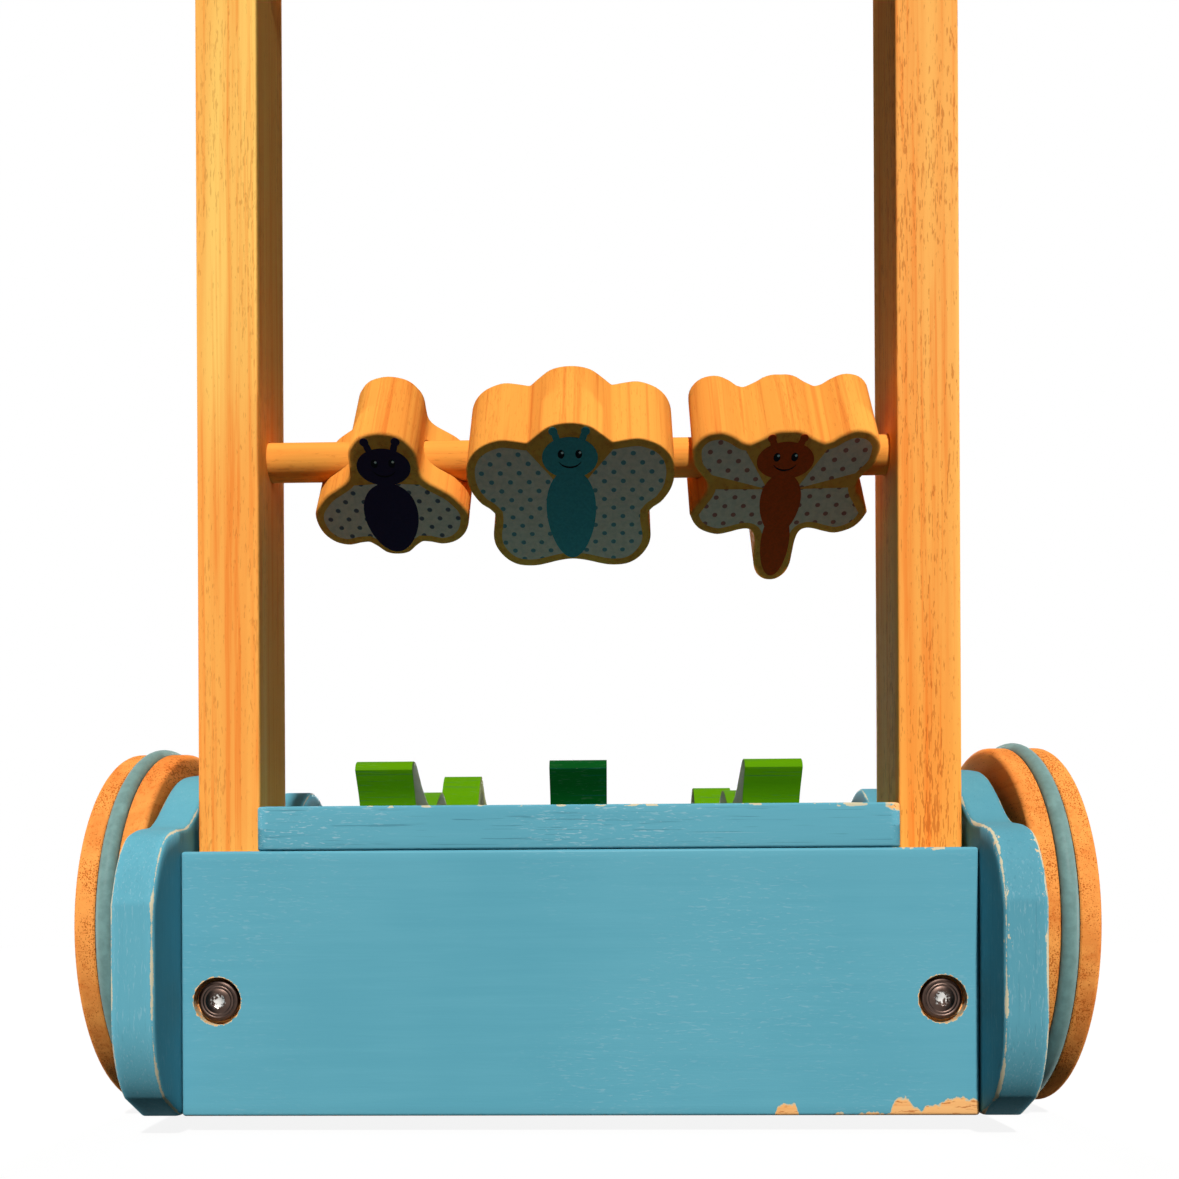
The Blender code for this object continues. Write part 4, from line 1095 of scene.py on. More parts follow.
def art_paint(name):
    """The flat colours of the insects' artwork."""
    shade = tuple(getattr(colours(), f"art_{name}"))
    material = material_named(f"Artwork, {name}", plain_material, shade, 0.8, 0.0, 900.0)
    set_gloss(material, 0.03)
    return material


def spotted_wings(kind):
    """Pale wings whose spots are of the insect's own colour, greyed."""
    own = getattr(colours(), f"art_{kind}")
    spot = tuple((a + b) / 2 for a, b in zip(own, colours().art_spot))
    name = f"Spotted wings, {kind}"
    return material_named(name, spotted_material, tuple(colours().art_wing), spot)


# Tints of the uprights between two heights: paler towards the top, redder towards the foot
PALE_LEFT = (0.24, 0.31, (1.0, 1.28, 1.45))
PALE_RIGHT = (0.24, 0.31, (1.0, 1.08, 1.25))
RED_RIGHT = (0.22, 0.13, (1.0, 0.86, 0.72))

# Between these heights the flecks of the right upright become as dense as the last number
SPECKLED_FOOT = (0.22, 0.15, 0.045)


def bare_wood(place):
    """Bare wood with its grain along the piece at a place of the toy."""
    plain = tuple(colours().wood), tuple(colours().wood_dark)
    orange = tuple(colours().orange_wood), tuple(colours().orange_wood_dark)
    deep = tuple(colours().wheel_wood), tuple(colours().wheel_wood_dark)
    turn, shades, looks, *more = {
        "upright_left": (GRAIN_TURNS["Z"], plain, (0.65, 0.80, 0.35, 0.12, 0.0), (PALE_LEFT,)),
        "upright_right": (
            GRAIN_TURNS["Z"],
            plain,
            (0.65, 0.80, 0.55, 0.12, 0.0),
            (PALE_RIGHT, RED_RIGHT),
            SPECKLED_FOOT,
        ),
        "rod": (GRAIN_TURNS["X"], orange, (0.5, 0.35, 0.3, 0.12, 0.0)),
        "wheels": (GRAIN_TURNS["Y"], deep, (0.55, 0.50, 0.85, 0.30, 0.04)),
        "insects": ((-sizes().insect_tilt, 0, math.pi / 2), orange, (0.45, 0.75, 0.25, 0.12, 0.0)),
    }[place]
    return material_named(f"Bare wood, {place}", wood_material, turn, *shades, looks, *more)


def centre_of(node):
    low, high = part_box(node)
    return (low + high) / 2


def radius_of(node):
    """Half the height of a round node."""
    low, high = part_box(node)
    return (high.z - low.z) / 2


# Operators


# Bores for the panel bolts and the bar bolts, and the play round their heads
PANEL_BORE = 0.0035
BAR_BORE = 0.0033
PANEL_HEAD_PLAY = 0.0010
BAR_HEAD_PLAY = 0.0009

# How thick a bolt's head is
HEAD_THICKNESS = 0.0040

# How far from the rear of a side panel its foot ends, and the lowest points, which stay
FOOT_LENGTH = 0.03
FOOT_FLAT = 0.0004


def cut_foot(line):
    """Cuts the rounded rear foot of a side panel off straight."""
    rear, floor = min(p.y for p in line), min(p.z for p in line)
    low, high = floor + FOOT_FLAT, floor + sizes().foot_height
    return [p for p in line if p.y > rear + FOOT_LENGTH or not low < p.z < high]


def board_like(node, axis, share, rounding, material, shape=None):
    """Models a painted board over a CAD node from the lines where a plane cuts it.

    The share says where the plane lies between the board's two faces.
    """
    low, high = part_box(node)
    index = "XYZ".index(axis)
    level = low[index] + (high[index] - low[index]) * share
    along = AXES[axis]
    lines = cut_lines(node, along * level, along)
    flat = [[p + along * (low[index] - level) for p in line] for line in lines]
    flat = [smooth_line(line, sizes().curve_step) for line in flat]
    if shape:
        flat[0] = shape(flat[0])
    thickness = high[index] - low[index]
    ring = min(BOARD_RING, thickness / 4)
    piece, sharp = plate(f"{node}_finished", flat[0], along, thickness, rounding, ring)
    holes = [
        block("hole", [p - along * ring for p in hole], along * (thickness + 2 * ring))
        for hole in flat[1:]
    ]
    if holes:
        # The exact solver leaves open edges beside the deck's slots, and the fast one doesn't
        split_wide_faces(piece)
        cut(piece, joined(holes), solver="FAST" if axis == "Z" else "EXACT")
    mark_edge_distance(piece, sharp)
    finish_piece(piece, material, "base", "blue_paint", node)


class PUSHTOY_OT_boards(bpy.types.Operator):
    """Models the back panel, the front panel and the deck board"""

    bl_idname = "push_toy.boards"
    bl_label = "Boards"

    def execute(self, context):
        rounding = sizes().board_rounding
        for node in ("back_panel", "front_panel"):
            low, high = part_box(node)
            corners = ((low.x, low.z), (high.x, low.z), (high.x, high.z), (low.x, high.z))
            line = [Vector((x, low.y, z)) for x, z in corners]
            thick = high.y - low.y
            piece, sharp = plate(f"{node}_finished", line, AXES["Y"], thick, rounding, BOARD_RING)
            if node == "back_panel":
                for side in SIDES:
                    bolt = f"panel_bolt_{side}"
                    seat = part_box(bolt)[0].y + HEAD_THICKNESS + PLAY
                    radius = radius_of(bolt) + PANEL_HEAD_PLAY
                    drill(piece, centre_of(bolt), "Y", low.y - PAST, seat, radius)
                    drill(piece, centre_of(bolt), "Y", low.y, high.y + PAST, PANEL_BORE)
            mark_edge_distance(piece, sharp)
            paint = blue_paint("panel" if node == "back_panel" else "front")
            finish_piece(piece, paint, "base", "blue_paint", node)
        board_like("deck_board", "Z", 0.5, rounding, blue_paint("deck"))
        return {"FINISHED"}


class PUSHTOY_OT_side_panels(bpy.types.Operator):
    """Models the two side panels with their wave"""

    bl_idname = "push_toy.side_panels"
    bl_label = "Side panels"

    def execute(self, context):
        for side in SIDES:
            share = 0.75 if side == "right" else 0.25
            paint = blue_paint(side)
            rounding = sizes().side_rounding
            board_like(f"side_panel_{side}", "X", share, rounding, paint, shape=cut_foot)
        return {"FINISHED"}


class PUSHTOY_OT_uprights(bpy.types.Operator):
    """Models the two uprights, with their sockets and counterbores"""

    bl_idname = "push_toy.uprights"
    bl_label = "Uprights"

    def execute(self, context):
        for side, sign in SIDES.items():
            node = f"upright_{side}"
            low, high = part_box(node)
            inner, outer = (high.x, low.x) if side == "left" else (low.x, high.x)
            level = outer - sign * PAST
            line = cut_lines(node, (level, 0, 0), AXES["X"])[0]
            line = [Vector((low.x, p.y, p.z)) for p in line]
            line = smooth_line(line, sizes().curve_step)
            name, thick, rounding = f"{node}_finished", high.x - low.x, sizes().post_rounding
            piece, sharp = plate(name, line, AXES["X"], thick, rounding, BOARD_RING)
            split_wide_faces(piece)
            for rod in ("push_bar", "spinner_rod"):
                self.socket(piece, rod, side, inner)
            bolt = f"bar_bolt_{side}"
            head = outer_end(bolt, side) - sign * (HEAD_THICKNESS + PLAY)
            reach = sorted((outer + sign * PAST, head))
            drill(piece, centre_of(bolt), "X", *reach, radius_of(bolt) + BAR_HEAD_PLAY)
            drill(piece, centre_of(bolt), "X", *sorted((outer, inner)), BAR_BORE)
            bolt = f"panel_bolt_{side}"
            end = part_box(bolt)[1].y + PAST
            drill(piece, centre_of(bolt), "Y", low.y - PAST, end, PANEL_BORE)
            self.socket(piece, f"barrel_nut_{side}", side, inner)
            close_gaps(piece)
            mark_edge_distance(piece, sharp)
            finish_piece(piece, bare_wood(node), "base", "plain_wood", node)
        return {"FINISHED"}

    def socket(self, piece, node, side, inner):
        """Drills the blind hole in an upright that a rod or a nut sits in."""
        sign = SIDES[side]
        reach = sorted((inner - sign * PAST, outer_end(node, side) + sign * PLAY))
        drill(piece, centre_of(node), "X", *reach, radius_of(node) + PLAY)


def outer_end(node, side):
    """Where a node ends towards one side."""
    low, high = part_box(node)
    return high.x if side == "right" else low.x


# How far the ends of the push bar and of the rod are rounded
ROD_ROUNDING = 0.0008


class PUSHTOY_OT_rods(bpy.types.Operator):
    """Turns the push bar and the rod that the insects spin on"""

    bl_idname = "push_toy.rods"
    bl_label = "Push bar and rod"

    def execute(self, context):
        for node in ("push_bar", "spinner_rod"):
            low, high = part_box(node)
            radius, half = radius_of(node), (high.x - low.x) / 2
            profile = ((-half, 0), (-half, radius), (half, radius), (half, 0))
            profile = rounded_profile(profile, ROD_ROUNDING)
            piece = turned(f"{node}_finished", profile, centre_of(node), "X")
            if node == "push_bar":
                for side in SIDES:
                    bolt = f"bar_bolt_{side}"
                    bolt_low, bolt_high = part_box(bolt)
                    reach = bolt_low.x - PLAY, bolt_high.x + PLAY
                    drill(piece, centre_of(bolt), "X", *reach, BAR_BORE)
            finish_piece(piece, bare_wood("rod"), "base", "plain_wood", node)
        return {"FINISHED"}


class InsectFace:
    """The plane of an insect's two faces: x across from its middle and z up from the rod."""

    def __init__(self, node):
        low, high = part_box(node)
        self.node = node
        self.out = insect_normal(node)
        self.up = AXES["X"].cross(self.out)
        self.centre = centre_of("spinner_rod")
        self.centre.x = (low.x + high.x) / 2
        places = [vert.co for vert in frame["nodes"][node].data.vertices]
        self.half = max((place - self.centre).dot(self.out) for place in places)

    def place(self, x, z, depth):
        return self.centre + AXES["X"] * x + self.up * z + self.out * depth

    def outline(self):
        """The insect's outline, cut between its middle and its front face."""
        level = self.half * 0.6
        line = cut_lines(self.node, self.centre + self.out * level, self.out)[0]
        line = smooth_line(line, sizes().curve_step)
        return [((p - self.centre).x, (p - self.centre).dot(self.up)) for p in line]


def insect_normal(node):
    """The way an insect's front face looks, found from its widest flat faces."""
    totals = {}
    for face in frame["nodes"][node].data.polygons:
        key = tuple(round(part, 3) for part in face.normal)
        area, _ = totals.get(key, (0, None))
        totals[key] = (area + face.area, face.normal.copy())
    out = max(totals.values(), key=lambda item: item[0])[1].normalized()
    return out if out.y > 0 else -out


# The play round the rod in an insect's bore
SPINNER_PLAY = 0.0004


class PUSHTOY_OT_insects(bpy.types.Operator):
    """Cuts out the bee, the butterfly and the dragonfly"""

    bl_idname = "push_toy.insects"
    bl_label = "Insects"

    def execute(self, context):
        rod = centre_of("spinner_rod")
        bore = radius_of("spinner_rod") + SPINNER_PLAY
        for kind in INSECTS:
            node = f"{kind}_spinner"
            low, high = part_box(node)
            face = InsectFace(node)
            line = [face.place(x, z, -face.half) for x, z in face.outline()]
            name, thick, rounding = f"{node}_finished", 2 * face.half, sizes().insect_rounding
            piece, sharp = plate(name, line, face.out, thick, rounding, INSECT_RING)
            drill(piece, rod, "X", low.x - PAST, high.x + PAST, bore)
            mark_edge_distance(piece, sharp)
            finish_piece(piece, bare_wood("insects"), kind, "plain_wood", node)
        return {"FINISHED"}


def oval(x, z, wide, high, taper=0.0, lean=0.0, steps=48):
    """A closed oval. With a taper its top is wider than its foot."""
    line = []
    for i in range(steps):
        t = math.tau * i / steps
        a, b = wide * math.cos(t) * (1 + taper * math.sin(t)), high * math.sin(t)
        across = a * math.cos(lean) - b * math.sin(lean)
        up = a * math.sin(lean) + b * math.cos(lean)
        line.append((x + across, z + up))
    return line


def smile(x, z, radius, width, spread, steps=20):
    """A curved mouth that thins out to its corners."""
    turns = [math.radians(-90 - spread + 2 * spread * i / steps) for i in range(steps + 1)]
    under = [(x + radius * math.cos(t), z + radius * math.sin(t)) for t in turns]
    over = []
    for i, t in enumerate(turns):
        thin = radius - width * (0.25 + 0.75 * math.sin(math.pi * i / steps))
        over.append((x + thin * math.cos(t), z + thin * math.sin(t)))
    return under + over[::-1]


def inset_line(line, margin):
    """A closed line moved inwards, without the loops that this makes in its notches."""
    count = len(line)
    points = [Vector(point) for point in line]
    area = sum(a.x * b.y - b.x * a.y for a, b in zip(points, points[1:] + points[:1]))
    inward = 1 if area > 0 else -1
    moved = []
    for i, point in enumerate(points):
        along = (points[(i + 1) % count] - points[i - 1]).normalized()
        place = point + Vector((-along.y, along.x)) * inward * margin
        if min((place - other).length for other in points) > margin * 0.97:
            moved.append((place.x, place.y))
    return moved


def clipped(line, start, end):
    """The part of a closed line that lies to the right of the way from start to end."""
    way = (end[0] - start[0], end[1] - start[1])
    side = [(x - start[0]) * way[1] - (z - start[1]) * way[0] for x, z in line]
    kept = []
    for i, (x, z) in enumerate(line):
        last, (last_x, last_z) = side[i - 1], line[i - 1]
        if (side[i] > 0) != (last > 0):
            t = last / (last - side[i])
            kept.append((last_x + (x - last_x) * t, last_z + (z - last_z) * t))
        if side[i] > 0:
            kept.append((x, z))
    return kept


def mirrored(line):
    return [(-x, z) for x, z in reversed(line)]


# Each insect's neck line, which parts its wings from its head, and the ovals of its figure:
# x, z, half width, half height, taper and lean. All are measured from the rod, in metres.
INSECTS = {
    "bee": (
        ((-0.010, 0.0040), (0.040, 0.0010)),
        (
            (0, 0.0105, 0.0105, 0.0080, 0.0, 0.0),
            (0, -0.0125, 0.0108, 0.0160, 0.14, 0.0),
            (0.0050, 0.0185, 0.0013, 0.0034, 0.0, -0.30),
            (0.0060, 0.0212, 0.0017, 0.0017, 0.0, 0.0),
        ),
    ),
    "butterfly": (
        ((0.0070, 0.0045), (0.0175, 0.0180)),
        (
            (0, 0.0135, 0.0108, 0.0088, 0.0, 0.0),
            (0, -0.0120, 0.0098, 0.0205, 0.16, 0.0),
            (0.0052, 0.0222, 0.0013, 0.0034, 0.0, -0.30),
            (0.0062, 0.0247, 0.0017, 0.0017, 0.0, 0.0),
        ),
    ),
    "dragonfly": (
        ((0.0060, -0.0010), (0.0190, 0.0215)),
        (
            (0, 0.0110, 0.0110, 0.0080, 0.0, 0.0),
            (0, -0.0085, 0.0080, 0.0140, 0.15, 0.0),
            (0, -0.0270, 0.0058, 0.0158, 0.05, 0.0),
            (0.0052, 0.0182, 0.0013, 0.0030, 0.0, -0.30),
            (0.0061, 0.0205, 0.0016, 0.0016, 0.0, 0.0),
        ),
    ),
}


# The lines that part a dragonfly's upper wing from its lower one
DRAGONFLY_WINGS = (
    ((0.0340, 0.0070), (0.0050, -0.0015)),
    ((0.0050, -0.0015), (0.0340, -0.0010)),
)

# The half of a wing outline that is drawn starts this far from the middle of an insect
WING_START = 0.003

# Each outline of a layer stands this share of a layer above the last, so no two coincide
LAYER_STAGGER = 0.05


class PUSHTOY_OT_artwork(bpy.types.Operator):
    """Lays the insects' spotted wings, bodies and smiling faces on both their faces"""

    bl_idname = "push_toy.artwork"
    bl_label = "Insects' artwork"

    def execute(self, context):
        for kind, (neck, figure) in INSECTS.items():
            face = InsectFace(f"{kind}_spinner")
            inner = inset_line(face.outline(), sizes().art_margin)
            wing = clipped(clipped(inner, (WING_START, -1), (WING_START, 1)), *neck)
            wings = [wing]
            if kind == "dragonfly":
                wings = [clipped(wing, *line) for line in DRAGONFLY_WINGS]
            wings += [mirrored(wing) for wing in wings]
            ovals = [oval(*values) for values in figure]
            ovals += [mirrored(oval(*values)) for values in figure if values[0]]
            head_z = figure[0][1]
            eyes = [oval(x, head_z + 0.0016, 0.0013, 0.0018) for x in (-0.0034, 0.0034)]
            glints = [oval(x, head_z + 0.0023, 0.0005, 0.0005) for x in (-0.0029, 0.0039)]
            mouth = smile(0, head_z + 0.0006, 0.0050, 0.0007, 62)
            lift = sizes().art_lift
            for part, outlines, height, material in (
                ("wings", wings, 1, spotted_wings(kind)),
                ("figure", ovals, 2, art_paint(kind)),
                ("features", (*eyes, mouth), 3, art_paint("ink")),
                ("glints", glints, 4, art_paint("white")),
            ):
                pieces = []
                for way in (-1, 1):
                    for i, outline in enumerate(outlines):
                        base = way * (face.half - lift)
                        corners = [face.place(x, z, base) for x, z in outline]
                        rise = lift * (height + 1) + i * lift * LAYER_STAGGER
                        pieces.append(block(f"{kind}_{part}", corners, face.out * way * rise))
                finish_piece(joined(pieces), material, kind, "plain_wood")
        return {"FINISHED"}


# Points round the section of a tyre ring, and how far an axle cap is rounded
TYRE_SIDES = 24
CAP_ROUNDING = 0.0014


class PUSHTOY_OT_wheels(bpy.types.Operator):
    """Turns the wheels, their tyre rings, bushes and caps"""

    bl_idname = "push_toy.wheels"
    bl_label = "Wheels"

    def execute(self, context):
        for end in ENDS:
            for side, sign in SIDES.items():
                body = f"{end}_wheels"
                place = f"{end}_{side}"
                low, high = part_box(f"wheel_{place}")
                start = high.x if side == "left" else low.x
                centre = centre_of(f"wheel_{place}")
                centre.x = 0
                centre.z = centre_of(f"{end}_axle").z
                thick = high.x - low.x
                radius = radius_of(f"wheel_{place}")
                tyre_low, tyre_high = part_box(f"tyre_{place}")
                ring = (tyre_high.x - tyre_low.x) / 2
                ring_at = radius_of(f"tyre_{place}") - ring
                ring *= sizes().tyre_share
                cap_low, cap_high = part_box(f"axle_cap_{place}")
                cap = radius_of(f"axle_cap_{place}")
                seat = abs((cap_low.x if side == "right" else cap_high.x) - start)
                top = thick + abs(cap_high.x - cap_low.x) - (thick - seat)
                wheel = wheel_line(thick, radius, ring, ring_at, cap, seat - PLAY)
                tyre = arc((thick / 2, ring_at), ring, 0, 360, TYRE_SIDES)[:-1]
                lid = ((seat, 0), (seat, cap), (top, cap), (top, 0))
                lid = rounded_profile(lid, CAP_ROUNDING)
                bush = bush_line(place, start)
                for kind, profile, material, slot, on in (
                    ("wheel", wheel, bare_wood("wheels"), "plain_wood", body),
                    ("tyre", tyre, rubber(), "tyre_rubber", body),
                    ("axle_cap", lid, steel(), "bright_steel", body),
                    ("axle_bush", bush, nylon(), "bush_nylon", "base"),
                ):
                    placed = [(start + sign * a, r) for a, r in profile]
                    node = f"{kind}_{place}"
                    sides = ROUND_SIDES if kind in ("wheel", "tyre") else HOLE_SIDES
                    piece = turned(f"{node}_finished", placed, centre, "X", sides)
                    finish_piece(piece, material, on, slot, node)
        return {"FINISHED"}


def bush_line(place, start):
    """The bush's line, as distances from the wheel's inner face, positive outwards."""
    low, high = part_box(f"axle_bush_{place}")
    near, far = (high.x, low.x) if start < 0 else (low.x, high.x)
    inner, outer = -abs(near - start), -abs(far - start)
    flange = (high.z - low.z) / 2
    bore, sleeve, edge, chamfer = 0.0044, 0.0070, 0.0017, 0.0003
    return (
        (inner, bore),
        (inner, sleeve),
        (outer - edge, sleeve),
        (outer - edge, flange - chamfer),
        (outer - edge + chamfer, flange),
        (outer - chamfer, flange),
        (outer, flange - chamfer),
        (outer, bore),
    )


def wheel_line(thick, radius, ring, ring_at, cap, seat):
    """Half the section of a wheel, with its bore, its cap seat and its tyre groove."""
    bore, round_off, lip, rim = 0.0043, 0.0024, 0.0005, 0.0006
    groove = ring + PLAY
    middle = thick / 2
    line = [(0, bore), (0, radius - round_off)]
    line += arc((round_off, radius - round_off), round_off, 180, 90)
    line += [(middle - groove - lip, radius), (middle - groove, radius - lip)]
    line += arc((middle, ring_at), groove, 180, 360, 12)
    line += [(middle + groove, radius - lip), (middle + groove + lip, radius)]
    line += arc((thick - round_off, radius - round_off), round_off, 90, 0)
    line += [(thick, radius - round_off), (thick, cap + PLAY + rim)]
    line += [(thick - rim, cap + PLAY), (seat, cap + PLAY), (seat, bore)]
    return line


def arc(centre, radius, start, end, steps=5):
    """An arc between two angles in degrees, both ends included."""
    turns = [math.radians(start + (end - start) * i / steps) for i in range(steps + 1)]
    return [(centre[0] + radius * math.cos(t), centre[1] + radius * math.sin(t)) for t in turns]


def rubber():
    material = material_named("Tyre rubber", plain_material, tuple(colours().rubber), 0.5)
    set_gloss(material, 0.12)
    return material


def steel():
    return material_named("Bright steel", plain_material, tuple(colours().steel), 0.3, 1.0)


def dark_steel():
    shade = tuple(colours().dark_steel)
    return material_named("Dark steel", plain_material, shade, 0.35, 1.0, 300.0, painted_socket_glint)


def nylon():
    return material_named("Bush nylon", plain_material, tuple(colours().nylon), 0.45)


# Radii of the screws' shanks, and where the two grooves in a head's face lie, as shares
SHANKS = {"panel_bolt": 0.0032, "bar_bolt": 0.0030}
HEAD_GROOVES = (0.60, 0.74)

# A hexagon socket's depth, its radius as a share of the head's, and its number of sides
SOCKET_DEPTH = 0.0022
SOCKET_SHARE = 0.38
SOCKET_SIDES = 6

# The drill's cone at the foot of a socket, as (depth, radius)
DRILL_POINT = ((0.0018, 0), (0.0018, 0.0024), (0.0022, 0.0024), (0.0031, 0))


def bolt_line(radius, shank, length):
    """Half the section of a cap screw, as (depth below its face, radius)."""
    line = [(0, 0)]
    for share in HEAD_GROOVES:
        groove = ((0, -0.02), (0.00012, 0), (0.00012, 0.03), (0, 0.05))
        line += [(deep, radius * (share + move)) for deep, move in groove]
    line += [(0, radius * 0.84), (0.0002, radius * 0.86), (0.0004, radius * 0.93)]
    line += [(0.0007, radius * 0.98), (0.0012, radius), (HEAD_THICKNESS - 0.0002, radius)]
    line += [(HEAD_THICKNESS, radius - 0.0002), (HEAD_THICKNESS, shank)]
    line += [(length - 0.0008, shank), (length, shank - 0.0008), (length, 0)]
    return line


class PUSHTOY_OT_bolts(bpy.types.Operator):
    """Turns the four cap screws with their hexagon sockets"""

    bl_idname = "push_toy.bolts"
    bl_label = "Bolts"

    def execute(self, context):
        for side in SIDES:
            for kind, axis in (("panel_bolt", "Y"), ("bar_bolt", "X")):
                node = f"{kind}_{side}"
                low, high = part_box(node)
                index = "XYZ".index(axis)
                head = low[index] if axis == "Y" or side == "left" else high[index]
                way = 1 if head == low[index] else -1
                radius = radius_of(node) * sizes().bolt_head_share
                centre = centre_of(node)
                centre[index] = 0
                line = bolt_line(radius, SHANKS[kind], high[index] - low[index])
                placed = [(head + way * a, r) for a, r in line]
                piece = turned(f"{node}_finished", placed, centre, axis, HOLE_SIDES)
                reach = sorted((head - way * PAST, head + way * SOCKET_DEPTH))
                drill(piece, centre, axis, *reach, radius * SOCKET_SHARE, SOCKET_SIDES)
                point = [(head + way * a, r) for a, r in DRILL_POINT]
                cut(piece, turned("drill_point", point, centre, axis, HOLE_SIDES))
                finish_piece(piece, dark_steel(), "base", "dark_steel", node)
        return {"FINISHED"}


# Radii of the pivot rod's bores, which the jaws turn in and the bodies hold
PIVOT_BORES = {"body": 0.0033, "jaw": 0.0034}

# How far from the hinge a snout starts to be lowered, and from where it is fully lowered
SNOUT_REACH = (0.111, 0.159)

# The roots of a jaw's teeth lie below this height above the hinge
TEETH_TOP = 0.0040

# A leg is about this deep from the rear to the front
LEG_DEPTH = 0.014

# Half the hinge tongue's width, the radius of its boss, and how far it reaches back and down
TONGUE_HALF = 0.0040
TONGUE_BOSS = 0.0070
TONGUE_BACK = 0.0100
TONGUE_DOWN = 0.0080

# Half the fork's width, how far it reaches behind and round the hinge, and before it
FORK_HALF = 0.0043
FORK_REACH = 0.0120
FORK_FRONT = 0.0076

# How far above the hinge a leg is joined to its jaw, and a leg's slot ends in a body
LEG_TOP = 0.006
SLOT_TOP = 0.007

# A tail is hollowed up to this share of its tip's height, over this much of its rear
HANG_SHARE = 0.80
TAIL_REACH = 0.003
TAIL_STEP = 0.0012


class PUSHTOY_OT_alligators(bpy.types.Operator):
    """Cuts out the alligators' bodies and their hinged heads"""

    bl_idname = "push_toy.alligators"
    bl_label = "Alligators"

    def execute(self, context):
        for name, paint in GATORS.items():
            shade = tuple(getattr(colours(), paint))
            label = f"{paint.capitalize()} paint"
            material = material_named(label, gator_paint, shade, GATOR_LOOKS)
            low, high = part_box(f"gator_body_{name}")
            x = (low.x + high.x) / 2
            half = (high.x - low.x) / 2
            hinge = centre_of("jaw_pivot_rod")
            hinge.x = x
            for part in ("body", "jaw"):
                node = f"gator_{part}_{name}"
                lines = cut_lines(node, (x + half * 0.7, 0, 0), AXES["X"])
                lines = [[Vector((x - half, p.y, p.z)) for p in line] for line in lines]
                lines = [smooth_line(line, sizes().curve_step) for line in lines]
                outline = lines[0]
                if part == "body":
                    outline = hollow_tail(outline)
                else:
                    outline = low_snout(outline, hinge, jaw_way(node))
                rounding = sizes().gator_rounding
                title, thick = f"{node}_finished", 2 * half
                piece, sharp = plate(title, outline, AXES["X"], thick, rounding, GATOR_RING)
                if part == "body":
                    add_hinge_tongue(piece, hinge)
                    cut_leg_slot(piece, hinge)
                else:
                    fork_and_leg(piece, node, hinge)
                reach = x - half - PAST, x + half + PAST
                drill(piece, hinge, "X", *reach, PIVOT_BORES[part])
                mark_edge_distance(piece, sharp)
                body = "base" if part == "body" else f"jaw_{name}"
                finish_piece(piece, material, body, f"{paint}_paint", node)
        return {"FINISHED"}


def hollow_tail(line):
    """Hollows the rear end of a tail, so that its tip hangs over."""
    rear = min(p.y for p in line)
    floor = min(p.z for p in line if p.y < rear + 0.001)
    tip = max(p.z for p in line if p.y < rear + 0.010)
    hang = floor + (tip - floor) * HANG_SHARE
    hollowed = []
    for here, there in zip(line, line[1:] + line[:1]):
        steps = 1
        if max(here.y, there.y) < rear + TAIL_REACH:
            steps = max(1, math.ceil((there - here).length / TAIL_STEP))
        for i in range(steps):
            place = here.lerp(there, i / steps)
            if place.y < rear + TAIL_REACH and place.z < hang:
                share = (hang - place.z) / (hang - floor)
                place.y += sizes().tail_hollow * (1 - (1 - share) ** 1.5)
            hollowed.append(place)
    return hollowed


def leg_foot(node):
    """The rear and the front edge of the foot of a jaw's leg, which is a jaw's lowest part."""
    places = [vert.co.copy() for vert in frame["nodes"][node].data.vertices]
    lowest = min(places, key=lambda p: p.z)
    others = [p for p in places if abs(p.y - lowest.y) > LEG_DEPTH / 2]
    ends = lowest, min(others, key=lambda p: p.z)
    return sorted(ends, key=lambda p: p.y)


def jaw_way(node):
    """The way that a jaw points at rest, from the foot of its leg."""
    rear, front = leg_foot(node)
    return Vector((0, front.y - rear.y, front.z - rear.z)).normalized()


def low_snout(line, hinge, ahead):
    """Lowers the top of a snout towards its teeth."""
    up = Vector((0, -ahead.z, ahead.y))
    start, end = SNOUT_REACH
    lowered = []
    for place in line:
        along, rise = (place - hinge).dot(ahead), (place - hinge).dot(up) - TEETH_TOP
        if along > start and rise > 0:
            share = min(1, (along - start) / (end - start))
            share = share * share * (3 - 2 * share)
            place = place - up * (rise * (1 - sizes().snout_share) * share)
        lowered.append(place)
    return lowered


def add_hinge_tongue(piece, hinge):
    """The middle third of the hinge, which the jaw's fork goes round."""
    points = [(-TONGUE_BACK, -TONGUE_DOWN), (-TONGUE_BACK, 0.0046)]
    points += arc((0, 0), TONGUE_BOSS, 139, 0, 12)
    points += [(TONGUE_BOSS, -TONGUE_DOWN)]
    start = hinge.x - TONGUE_HALF
    line = [Vector((start, hinge.y + a, hinge.z + b)) for a, b in points]
    tongue, _ = plate("tongue", line, AXES["X"], 2 * TONGUE_HALF, 0, TONGUE_HALF / 2)
    cut(piece, tongue, "UNION")


def cut_leg_slot(piece, hinge):
    """The slot in a body that its jaw's leg goes down through."""
    deck_low, deck_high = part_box("deck_board")
    slots = cut_lines("deck_board", (0, 0, (deck_low.z + deck_high.z) / 2), AXES["Z"])[1:]
    slot = min(slots, key=lambda line: abs(sum(p.x for p in line) / len(line) - hinge.x))
    corners = [Vector((p.x, p.y, deck_low.z)) for p in slot]
    cut(piece, block("slot", corners, Vector((0, 0, hinge.z + SLOT_TOP - deck_low.z))))


